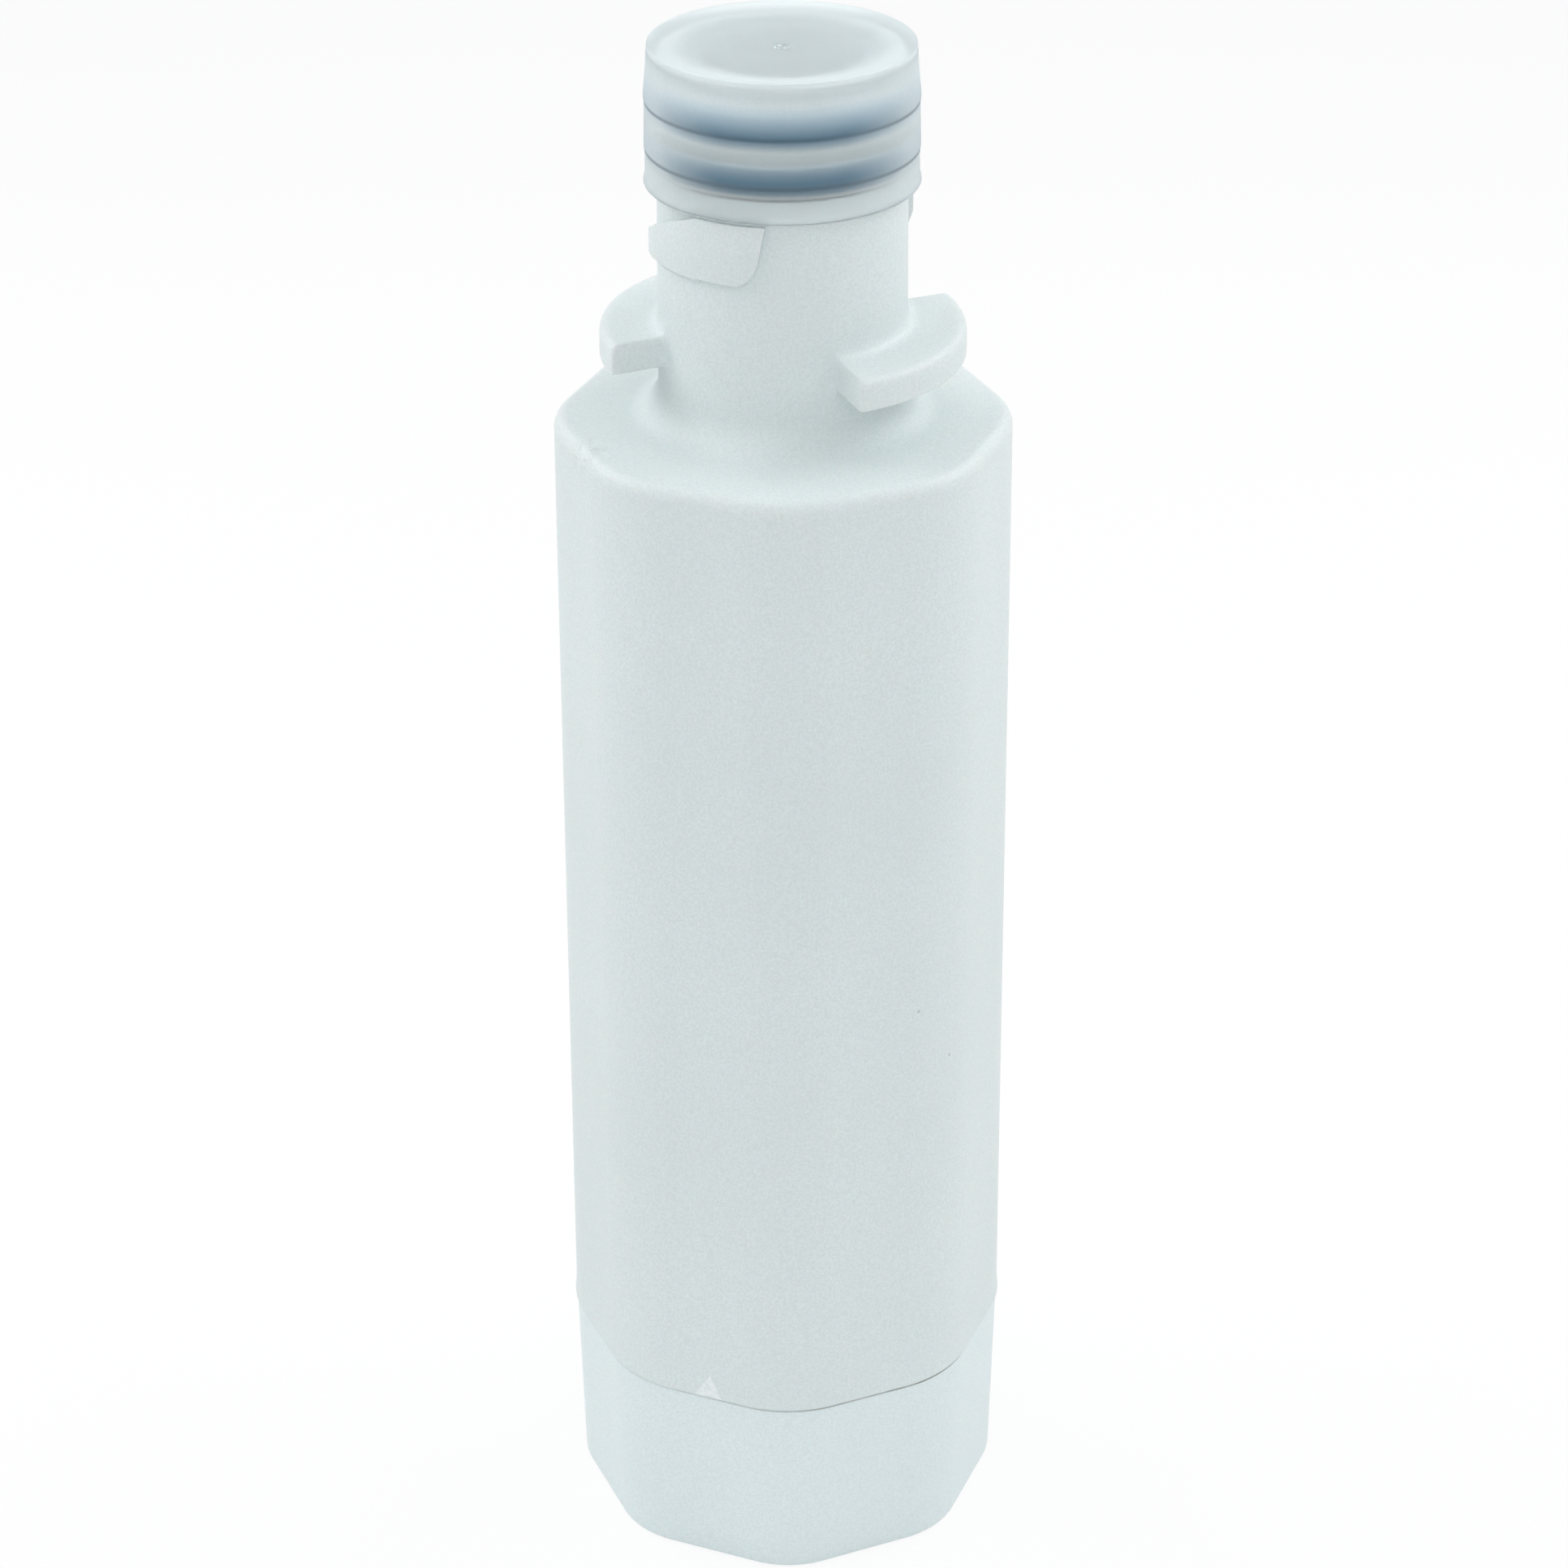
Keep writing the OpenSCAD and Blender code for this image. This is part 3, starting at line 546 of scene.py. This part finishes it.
def cup_levels():
    def wall(z, in_by=0.0):
        share = (z - 0.8) / (SEAM_Z - 0.8)
        flat = FOOT_FLAT + (SEAM_FLAT - CUP_STEP - FOOT_FLAT) * share
        corner = FOOT_CORNER + (SEAM_CORNER - CUP_STEP - FOOT_CORNER) * share
        return octagon(flat - in_by, corner - in_by, z)

    base = ring_level([(0.0, 0.6), (23.5, 0.6), (23.8, 0.5), (24.0, 0.2), (24.2, 0.0), (25.0, 0.0)])
    base += [octagon(FOOT_FLAT - 1.2, FOOT_CORNER - 1.2, 0.0)]
    base += [
        octagon(FOOT_FLAT - 0.8 + x, FOOT_CORNER - 0.8 + x, z)
        for x, z in arc(0, 0.8, 0.8, 270, 360, 7)
    ]
    walls = [wall(z) for z in (1.4, 8.0, 16.0, 24.0, 30.0, 30.35)]
    rim = [wall(SEAM_Z - 0.08, 0.06), wall(SEAM_Z, 0.22)]
    tongue_z = SEAM_Z + 2.4
    inside = [(30.6, SEAM_Z), (30.6, tongue_z - 0.2), (30.4, tongue_z), (29.7, tongue_z)]
    inside += [(29.5, tongue_z - 0.2), (29.5, SEAM_Z), (BODY_BORE_R, SEAM_Z)]
    inside += arc(BODY_BORE_R - 3.0, 6.0, 3.0, 0, -90, 5)
    inside += [(13.55, 3.0), (13.55, 6.4), (13.35, 6.6), (12.25, 6.6), (12.05, 6.4), (12.05, 3.0)]
    inside += [(0.0, 3.0)]
    return base + walls + rim + ring_level(inside)


def cup_skin():
    cup = turned_body("cup_shell", cup_levels(), closed=False)
    smooth(cup, 30)
    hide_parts("base_cup")
    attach(cup, "cartridge")
    return cup


# Protective cap


def cap_points():
    """Half the cap's section, from the axis down the inside, up the outside and over the end.

    The wall stands out a little over each ring and steps back in at the line of contact.
    """
    inside = [(0.0, 233.0), (10.0, 233.0), (16.8, 233.0), (17.15, 232.9), (17.3, 232.6)]
    inside += [(17.62, 231.0), (17.85, 229.9), (17.95, 229.2), (17.95, 227.6), (17.95, 220.6)]
    inside += [(17.95, 216.2), (18.0, 215.9), (18.4, 215.5)]
    outside = [(19.0, 215.5)] + arc(19.02, 215.72, 0.14, -60, 60, 4)
    outside += [(19.06, 216.15), (18.98, 216.4), (18.93, 216.9), (18.9, 218.4)]
    outside += [(18.87, 219.1), (18.87, 219.25), (18.9, 219.4), (18.92, 219.6), (18.92, 220.2)]
    outside += [(18.94, 220.42), (19.0, 220.6), (19.02, 220.8), (19.0, 221.8), (18.95, 223.4)]
    outside += [(18.91, 225.2), (18.89, 226.6), (18.89, 227.1), (18.92, 227.26), (18.97, 227.42)]
    outside += [(18.99, 227.62), (18.97, 228.2), (18.88, 229.0), (18.73, 230.6)]
    outside += [(18.6, 232.2), (18.46, 234.3)]
    outside += arc(18.22, 234.78, 0.22, 0, 90, 5)
    rim = [(17.95, 235.0), (17.75, 234.97), (17.4, 234.88), (16.2, 234.62), (14.4, 234.37)]
    rim += [(12.6, 234.25), (11.2, 234.2), (5.0, 234.2), (1.15, 234.2), (1.0, 234.17)]
    rim += [(0.85, 234.04), (0.7, 234.0), (0.55, 234.04), (0.35, 234.17), (0.2, 234.18)]
    rim += [(0.1, 234.06), (0.0, 234.04)]
    return inside + outside + rim


def cap_skin():
    cap = draw_section("cap_shell", cap_points(), closed=False)
    turn_section()
    face_outwards()
    bpy.ops.object.mode_set(mode="OBJECT")
    smooth(cap, 35)
    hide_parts("protective_cap")
    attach(cap, "cap")
    return cap


# Port rings


def ring_skin(name, node, z):
    """A moulded ring, pressed flat where the cap squeezes it, with a flash line inside."""
    flash, squeeze, contact_r = 0.02, 1.05, 17.94
    points = [
        (min(RING_MIDDLE_R + (r - RING_MIDDLE_R) * squeeze, contact_r), h)
        for r, h in arc(RING_MIDDLE_R, z, RING_SECTION_R, -176, 176, 48)
    ]
    points.append((RING_MIDDLE_R - RING_SECTION_R * squeeze - flash, z))
    ring = draw_section(name, points, 90.0)
    turn_section(steps=192)
    face_outwards()
    bpy.ops.object.mode_set(mode="OBJECT")
    smooth(ring, 50)
    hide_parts(node)
    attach(ring, "cartridge")
    return ring


# Shader maths


class Value:
    """A node socket that can be used in Python arithmetic."""

    def __init__(self, tree, socket):
        self.tree, self.socket = tree, socket

    def _math(self, operation, *others):
        return self.tree.node("ShaderNodeMath", {"operation": operation}, [self, *others]).out(0)

    def __add__(self, other):
        return self._math("ADD", other)

    def __radd__(self, other):
        return self._math("ADD", other)

    def __sub__(self, other):
        return self._math("SUBTRACT", other)

    def __rsub__(self, other):
        return (self * -1.0) + other

    def __mul__(self, other):
        return self._math("MULTIPLY", other)

    def __rmul__(self, other):
        return self._math("MULTIPLY", other)

    def clamp(self):
        node = self.tree.node("ShaderNodeClamp", {}, [self, 0.0, 1.0])
        return node.out(0)

    def below(self, high):
        """1 under a limit and 0 over it."""
        return self._math("LESS_THAN", high)

    def above(self, low, high):
        """0 below low, 1 above high, and a straight ramp between."""
        return ((self - low) * (1.0 / (high - low))).clamp()


class Made:
    def __init__(self, tree, node):
        self.tree, self.node = tree, node

    def out(self, key):
        return Value(self.tree, self.node.outputs[key])


class Finish:
    """One procedural material, or the light of the studio round the part."""

    def __init__(self, name, kind="materials", end="ShaderNodeOutputMaterial"):
        self.made_for = getattr(bpy.data, kind).new(name)
        self.made_for.use_nodes = True
        self.nodes = self.made_for.node_tree.nodes
        self.links = self.made_for.node_tree.links
        self.nodes.clear()
        self.end = self.nodes.new(end)

    def node(self, kind, settings, values):
        """Adds a node, sets it up, then fills its sockets, given as a list or by name."""
        node = self.nodes.new(kind)
        for key, setting in settings.items():
            if key == "stops":
                ramp = node.color_ramp.elements
                for _ in setting[2:]:
                    ramp.new(0.5)
                for stop, (place, level) in zip(ramp, setting):
                    stop.position, stop.color = place, (level, level, level, 1)
            else:
                setattr(node, key, setting)
        pairs = values.items() if isinstance(values, dict) else enumerate(values)
        for key, value in pairs:
            self.fill(node.inputs[key], value)
        return Made(self, node)

    def fill(self, socket, value):
        if isinstance(value, Value):
            self.links.new(value.socket, socket)
        elif value is not None:
            socket.default_value = value

    def place(self):
        return self.node("ShaderNodeTexCoord", {}, {}).out("Object")

    def stretched(self, place, scale):
        return self.node(
            "ShaderNodeMapping", {}, {"Vector": place, "Scale": scale}
        ).out(0)

    def noise(self, place, scale, detail=2.0, rough=0.5):
        return self.node(
            "ShaderNodeTexNoise", {},
            {"Vector": place, "Scale": scale, "Detail": detail, "Roughness": rough},
        ).out("Fac")

    def split(self, place):
        made = self.node("ShaderNodeSeparateXYZ", {}, {"Vector": place})
        return made.out(0), made.out(1), made.out(2)

    def blend(self, amount, a, b):
        """Mixes two colours."""
        made = self.node(
            "ShaderNodeMix", {"data_type": "RGBA"}, {0: amount, 6: a, 7: b}
        )
        return made.out(2)

    def along(self, place, way):
        return self.node(
            "ShaderNodeVectorMath", {"operation": "DOT_PRODUCT"}, {0: place, 1: way}
        ).out("Value")

    def size(self, value):
        return self.node("ShaderNodeMath", {"operation": "ABSOLUTE"}, [value]).out(0)

    def distance(self, place, point):
        return self.node(
            "ShaderNodeVectorMath", {"operation": "DISTANCE"}, {0: place, 1: point}
        ).out("Value")

    def bump(self, height, strength, depth):
        return self.node(
            "ShaderNodeBump", {}, {"Strength": strength, "Distance": depth, "Height": height}
        ).out("Normal")

    def levels(self, value, low, high, stops):
        """A smooth curve of levels over a range of values, from (value, level) stops."""
        places = [((at - low) / (high - low), level) for at, level in stops]
        scaled = (value - low) * (1.0 / (high - low))
        return self.node("ShaderNodeValToRGB", {"stops": places}, [scaled]).out("Color")

    def principled(self, **sockets):
        values = {name.replace("_", " "): value for name, value in sockets.items()}
        return self.node("ShaderNodeBsdfPrincipled", {}, values).out("BSDF")

    def finish(self, shader):
        self.links.new(shader.socket, self.end.inputs["Surface"])
        return self.made_for

    def surface(self, **sockets):
        return self.finish(self.principled(**sockets))


def colour(r, g, b):
    """A colour as it is seen, from 0 to 255, as Blender's linear values."""
    def linear(c):
        c /= 255
        return c / 12.92 if c <= 0.04045 else ((c + 0.055) / 1.055) ** 2.4
    return (linear(r), linear(g), linear(b), 1.0)


class Moulding(Finish):
    """Pale moulded plastic: a fine spark-eroded grain over very faint changes of tone."""

    def __init__(self, name, tint, shade, rough, grain):
        super().__init__(name)
        self.at = self.place()
        self.height = self.split(self.at)[2] * (1 / MM)
        self.rough, self.grain = rough, grain
        tone = self.noise(self.at, 26.0, 3.0).above(0.3, 0.7)
        self.body = self.blend(tone, tint, shade)
        deep = tuple(c * 0.9 for c in shade[:3]) + (1.0,)
        fine = self.noise(self.at, 2700.0, 1.0).above(0.34, 0.66)
        self.body = self.blend(fine * 0.62, self.body, deep)

    def mark(self, amount, tint):
        self.body = self.blend(amount, self.body, tint)

    def made(self):
        roughness = self.noise(self.at, 140.0, 3.0) * 0.12 + (self.rough - 0.06)
        bump = self.bump(self.noise(self.at, 2100.0, 2.0), self.grain, 0.00012)
        return self.surface(
            Base_Color=self.body, Roughness=roughness, Normal=bump, IOR=1.49,
            Subsurface_Weight=0.12, Subsurface_Scale=0.003,
        )


# The colour of the painted shade line in the seam between the housing and the cup
SEAM_SHADE = colour(118, 114, 108)


def painted_seam_shade(f):
    """How dark the painted shade line in the seam is: darkest on the right and lightest on the left."""
    x = f.split(f.at)[0] * (1 / MM)
    broken = f.noise(f.at, 300.0, 2.0).above(0.3, 0.6) * 0.4 + 0.6
    return (x.above(-20.0, 14.0) * 0.56 + x.above(15.0, 23.0) * 0.24 + 0.2) * broken


# Tiny dark specks in the housing, as (radius, azimuth, height)
SPECKS = [(32.97, 46.4, 87.5), (32.6, -51.9, 86.5), (32.68, 35.9, 97.2)]
SCUFF_PLACE = (30.6, -64.0, 180.6)


def housing_white():
    f = Moulding("housing white", colour(222, 231, 231), colour(217, 226, 226), 0.5, 0.3)
    scuff = 1.0 - (f.distance(f.at, around(*SCUFF_PLACE)) * (1 / MM)).above(1.5, 6.0)
    smears = f.noise(f.stretched(f.at, (1.0, 1.0, 3.0)), 620.0, 3.0, 0.6).above(0.52, 0.66)
    f.mark(scuff * smears * 0.3, colour(172, 178, 182))
    for speck in SPECKS:
        near = (f.distance(f.at, around(*speck)) * (1 / MM)).above(0.12, 0.3)
        f.mark((1.0 - near) * 0.5, colour(128, 126, 124))
    across = f.along(f.at, around(1.0, MARK_AZIMUTH + 90, 0)) * (1 / MM**2)
    out = f.along(f.at, around(1.0, MARK_AZIMUTH, 0)) * (1 / MM**2)
    up = (f.height - SEAM_Z) * (1 / MARK_HEIGHT)
    from_side = (1.0 - up) * MARK_HALF_WIDTH - f.size(across - up * MARK_LEAN)
    on_mark = from_side.above(0.0, 0.3) * out.above(31.0, 31.5)
    frost = f.noise(f.at, 1500.0, 2.0).above(0.3, 0.6) * 0.35 + 0.2
    f.mark(on_mark * frost, colour(246, 248, 249))
    # Painted shade: a thin dark line along the housing's lower edge at the seam
    f.mark((1.0 - f.height.above(SEAM_Z + 0.02, SEAM_Z + 0.14)) * painted_seam_shade(f), SEAM_SHADE)
    return f.made()


def cup_white():
    f = Moulding("cup white", colour(226, 237, 238), colour(222, 233, 234), 0.44, 0.2)
    # Painted shade: a thin dark line along the cup just under the seam
    f.mark(f.height.above(SEAM_Z - 0.48, SEAM_Z - 0.28) * painted_seam_shade(f), SEAM_SHADE)
    return f.made()


# Heights on the cap, each with a level: haze is thin where a ring touches the wall and halfway
# between the rings, what touches the wall looks bluish, and painted shade darkens the creases and the lip
CAP_LOW_Z, CAP_TOP_Z = 215.0, 235.0
CAP_HAZE = [
    (215.0, 0.04), (218.9, 0.06), (219.3, 0.46), (219.6, 0.34), (220.0, 0.27), (220.5, 0.26),
    (221.1, 0.26), (221.6, 0.3), (222.2, 0.34), (222.8, 0.42), (223.4, 0.5), (224.2, 0.1),
    (225.1, 0.1), (225.6, 0.32), (226.1, 0.5), (226.7, 0.4), (227.3, 0.28), (227.9, 0.33),
    (228.5, 0.41), (229.0, 0.52), (230.1, 0.7), (230.8, 0.8), (231.8, 0.86), (232.9, 0.72),
    (233.3, 0.5), (234.2, 0.2), (234.26, 0.34), (234.5, 0.5), (235.0, 0.55),
]
CAP_CONTACT = [
    (219.4, 0.0), (220.0, 0.7), (221.4, 1.0), (223.4, 0.35), (224.5, 0.0), (225.8, 0.0),
    (226.6, 0.5), (227.4, 1.0), (228.6, 0.7), (230.6, 0.3), (232.0, 0.0),
]
CAP_CREASE_SHADE = [
    (215.0, 0.25), (215.6, 0.2), (216.3, 0.0), (220.15, 0.0), (220.42, 1.0), (220.66, 1.0),
    (220.95, 0.0), (226.95, 0.0), (227.2, 1.0), (227.44, 1.0), (227.75, 0.0),
]


# What lies within this radius and below this height is the inside of the cap
CAP_INSIDE_R, CAP_INSIDE_Z = 18.2, 233.6
GATE_R = 1.2


def milky_cap():
    """Thin translucent plastic: what touches it shows, and what stands back from it blurs."""
    f = Finish("milky cap plastic")
    place = f.place()
    x, y, z = f.split(place)
    height = z * (1 / MM)
    radius2 = x * x + y * y
    cloud = f.noise(place, 90.0).above(0.3, 0.7) * 0.5 + f.noise(place, 2400.0, 1.0).above(0.3, 0.7) * 0.5
    haze, contact, crease_shade = [
        f.levels(height, CAP_LOW_Z, CAP_TOP_Z, stops) for stops in (CAP_HAZE, CAP_CONTACT, CAP_CREASE_SHADE)
    ]
    # Painted shade: this dark colour darkens the creases at the ring contacts and the lip, in every tint
    # of the cap
    dark_tone = colour(70, 90, 104)
    clear_tint = f.blend(cloud, colour(253, 254, 255), colour(250, 251, 252))
    clear_tint = f.blend(crease_shade * 0.3, clear_tint, dark_tone)
    milk = f.blend(cloud, colour(225, 236, 238), colour(217, 228, 230))
    # Painted light: the cap's end, apart from its slightly lower middle disc, is made lighter
    milk = f.blend(height.above(234.21, 234.4), milk, colour(241, 250, 251))
    milk = f.blend(crease_shade * 0.3, f.blend(contact, milk, colour(140, 186, 214)), dark_tone)
    side_milk = f.blend(cloud, colour(213, 222, 224), colour(205, 214, 216))
    side_milk = f.blend(crease_shade * 0.55, side_milk, dark_tone)
    bump = f.bump(f.noise(place, 1100.0), 0.05, 0.0001)
    inside = radius2.below((CAP_INSIDE_R * MM) ** 2) * z.below(CAP_INSIDE_Z * MM)
    gate = radius2.below((GATE_R * MM) ** 2) * (1.0 - inside)
    wall = (1.0 - inside) * (1.0 - height.above(233.8, 234.3))
    clear = f.principled(
        Base_Color=clear_tint, Roughness=inside * 0.25 + gate * -0.25 + 0.42, Normal=bump, IOR=1.25,
        Transmission_Weight=1.0,
    )
    scatter, side_scatter = [
        f.principled(Base_Color=tint, Roughness=1.0, Specular_IOR_Level=0.0, Normal=bump)
        for tint in (milk, side_milk)
    ]
    seen_through = f.node("ShaderNodeMixShader", {}, [haze * (1.0 - inside * 0.45), clear, scatter]).out(0)
    slant = f.node("ShaderNodeLayerWeight", {}, {"Blend": 0.5}).out("Facing").above(0.17, 0.6)
    return f.finish(
        f.node("ShaderNodeMixShader", {}, [slant * wall * 0.7, seen_through, side_scatter]).out(0)
    )


def rubber(name, tint):
    f = Finish(name)
    place = f.place()
    dark_tone = f.noise(place, 700.0, 3.0).above(0.55, 0.8)
    body = f.blend(dark_tone * 0.25, tint, colour(70, 74, 80))
    bump = f.bump(f.noise(place, 1800.0, 2.0), 0.15, 0.00008)
    return f.surface(Base_Color=body, Roughness=f.noise(place, 200.0) * 0.2 + 0.38, Normal=bump)


def plain_moulded(name, tint, shade, rough):
    f = Finish(name)
    place = f.place()
    body = f.blend(f.noise(place, 60.0, 3.0).above(0.3, 0.7), tint, shade)
    bump = f.bump(f.noise(place, 1500.0, 2.0), 0.1, 0.0001)
    return f.surface(Base_Color=body, Roughness=f.noise(place, 160.0) * 0.15 + rough, Normal=bump)


def carbon_grain():
    f = Finish("carbon block")
    place = f.place()
    grains = f.node(
        "ShaderNodeTexVoronoi", {"feature": "F1"}, {"Vector": place, "Scale": 1400.0}
    ).out("Distance")
    body = f.blend(grains.above(0.1, 0.7), colour(18, 18, 19), colour(46, 46, 48))
    bump = f.bump(grains + f.noise(place, 500.0, 3.0) * 0.6, 0.5, 0.0003)
    return f.surface(Base_Color=body, Roughness=0.82, Normal=bump)


def fibre(name, tint, shade):
    """Blown or spun fibre: fine strands that lie mostly round the block."""
    f = Finish(name)
    place = f.place()
    strands = f.noise(f.stretched(place, (1.0, 1.0, 5.0)), 900.0, 4.0, 0.65)
    cross = f.noise(f.stretched(place, (4.0, 4.0, 1.0)), 700.0, 3.0, 0.6)
    web = strands * 0.6 + cross * 0.4
    body = f.blend(web.above(0.35, 0.65), shade, tint)
    return f.surface(
        Base_Color=body, Roughness=0.9, Normal=f.bump(web, 0.6, 0.0003), Sheen_Weight=0.2
    )


def set_adhesive():
    f = Finish("set adhesive")
    place = f.place()
    body = f.blend(
        f.noise(place, 120.0, 3.0).above(0.3, 0.7), colour(222, 212, 178), colour(206, 194, 156)
    )
    bump = f.bump(f.noise(place, 260.0, 2.0), 0.3, 0.0003)
    return f.surface(
        Base_Color=body, Roughness=0.35, Normal=bump, Subsurface_Weight=0.2, Subsurface_Scale=0.002
    )


# Pieces

housing = housing_skin()
cup = cup_skin()
cap = cap_skin()
ring_upper = ring_skin("ring_upper_skin", "port_ring_upper", RING_UPPER_Z)
ring_lower = ring_skin("ring_lower_skin", "port_ring_lower", RING_LOWER_Z)

dark_rubber = rubber("port ring rubber", colour(20, 34, 48))
stem_rubber = rubber("stem ring rubber", colour(20, 20, 22))
pad_rubber = rubber("pad rubber", colour(34, 34, 36))
end_cap_white = plain_moulded("end cap white", colour(232, 236, 238), colour(224, 229, 232), 0.42)
finishes = {
    "top_end_cap": end_cap_white,
    "bottom_end_cap": end_cap_white,
    "stem_ring_upper": stem_rubber,
    "stem_ring_lower": stem_rubber,
    "outlet_screen": plain_moulded("screen film", colour(196, 201, 205), colour(180, 186, 190), 0.4),
    "top_adhesive": set_adhesive(),
    "carbon_block": carbon_grain(),
    "bore_liner": fibre("bore liner", colour(236, 236, 232), colour(214, 214, 208)),
    "sediment_sleeve": fibre("sediment sleeve", colour(242, 242, 238), colour(222, 222, 216)),
    "fabric_wrap": fibre("fabric wrap", colour(234, 237, 240), colour(214, 218, 222)),
    "net_sleeve": plain_moulded("netting", colour(206, 220, 230), colour(194, 210, 222), 0.35),
    "seat_pad": pad_rubber,
}
finishes["bottom_adhesive"] = finishes["top_adhesive"]
for name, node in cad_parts.items():
    if name in finishes:
        for slot in node.material_slots:
            slot.material = finishes[name]
for piece, material in (
    (housing, housing_white()), (cup, cup_white()), (cap, milky_cap()),
    (ring_upper, dark_rubber), (ring_lower, dark_rubber),
):
    piece.data.materials.clear()
    piece.data.materials.append(material)


# Floor, light and camera


FLOOR_WHITE, SOFT_SKY = 0.86, 0.6


def seen_white(f, shader, glow, share=1.0):
    """Shows white to the camera, gloss and clear plastic, and keeps the shader for other light."""
    paths = f.node("ShaderNodeLightPath", {}, {})
    white = f.node(glow, {}, {"Color": (1, 1, 1, 1), "Strength": 1.0}).out(0)
    seen = paths.out("Is Camera Ray") + paths.out("Is Glossy Ray") + paths.out("Is Transmission Ray")
    return f.node("ShaderNodeMixShader", {}, [seen.clamp() * share, shader, white]).out(0)


def studio_floor():
    start_piece()
    bpy.ops.mesh.primitive_plane_add(size=6.0, location=(0, 0, 0))
    floor = bpy.context.object
    floor.name = "studio_floor"
    f = Finish("studio floor")
    paper = f.node("ShaderNodeBsdfDiffuse", {}, {"Color": (0.9, 0.9, 0.9, 1)}).out(0)
    floor.data.materials.append(f.finish(seen_white(f, paper, "ShaderNodeEmission", FLOOR_WHITE)))


def studio_sky():
    f = Finish("studio", "worlds", "ShaderNodeOutputWorld")
    soft = f.node(
        "ShaderNodeBackground", {}, {"Color": (0.97, 0.985, 1.0, 1), "Strength": SOFT_SKY}
    ).out(0)
    bpy.context.scene.world = f.finish(seen_white(f, soft, "ShaderNodeBackground"))


def softbox(name, place, aim, size, power):
    """A plain rectangular area lamp that looks at a point."""
    start_piece()
    bpy.ops.object.light_add(type="AREA", location=place)
    lamp = bpy.context.object
    lamp.name = name
    lamp.data.shape = "RECTANGLE"
    lamp.data.size, lamp.data.size_y = size
    lamp.data.energy = power
    way = Vector(aim) - Vector(place)
    lamp.rotation_euler = way.to_track_quat("-Z", "Y").to_euler()
    return lamp


LIGHT_AIM = (0, 0, 0.15)
studio_floor()
studio_sky()
softbox("front box", (0, -1.1, 0.75), LIGHT_AIM, (0.9, 0.6), 2.6)
for side, turn in (("left", -1), ("right", 1)):
    softbox(side + " high box", (turn * 0.6, -0.05, 0.66), LIGHT_AIM, (0.5, 0.3), 1.1)
    softbox(side + " back box", (turn * 0.5, 0.3, 0.62), LIGHT_AIM, (0.5, 0.3), 1.5)

# The photograph's viewpoint, in the frame of the part
CAMERA_DISTANCE, CAMERA_HEIGHT = 533.951, 407.568
CAMERA_AZIMUTH, CAMERA_HEADING = -0.536, 0.523
CAMERA_DOWN, CAMERA_ROLL = 28.236, -0.231
FOCAL_PIXELS, PHOTO_PIXELS = 5024.938, 1932


def photo_camera():
    start_piece()
    a, h = math.radians(CAMERA_AZIMUTH), math.radians(CAMERA_HEADING)
    d, roll = math.radians(CAMERA_DOWN), math.radians(CAMERA_ROLL)
    place = Vector((CAMERA_DISTANCE * math.sin(a), -CAMERA_DISTANCE * math.cos(a), CAMERA_HEIGHT))
    ahead = Vector((math.sin(h) * math.cos(d), math.cos(h) * math.cos(d), -math.sin(d)))
    right = Vector((math.cos(h), -math.sin(h), 0))
    up = right.cross(ahead)
    right, up = (
        math.cos(roll) * right + math.sin(roll) * up,
        -math.sin(roll) * right + math.cos(roll) * up,
    )
    bpy.ops.object.camera_add()
    camera = bpy.context.object
    camera.name = "photo_camera"
    camera.data.sensor_width = 36.0
    camera.data.lens = FOCAL_PIXELS / PHOTO_PIXELS * 36.0
    camera.data.clip_start, camera.data.clip_end = 0.01, 20.0
    turn = Matrix((right, up, -ahead)).transposed().to_4x4()
    camera.matrix_world = Matrix.Translation(place * MM) @ turn
    bpy.context.scene.camera = camera


photo_camera()
bpy.context.scene.view_settings.view_transform = "Standard"
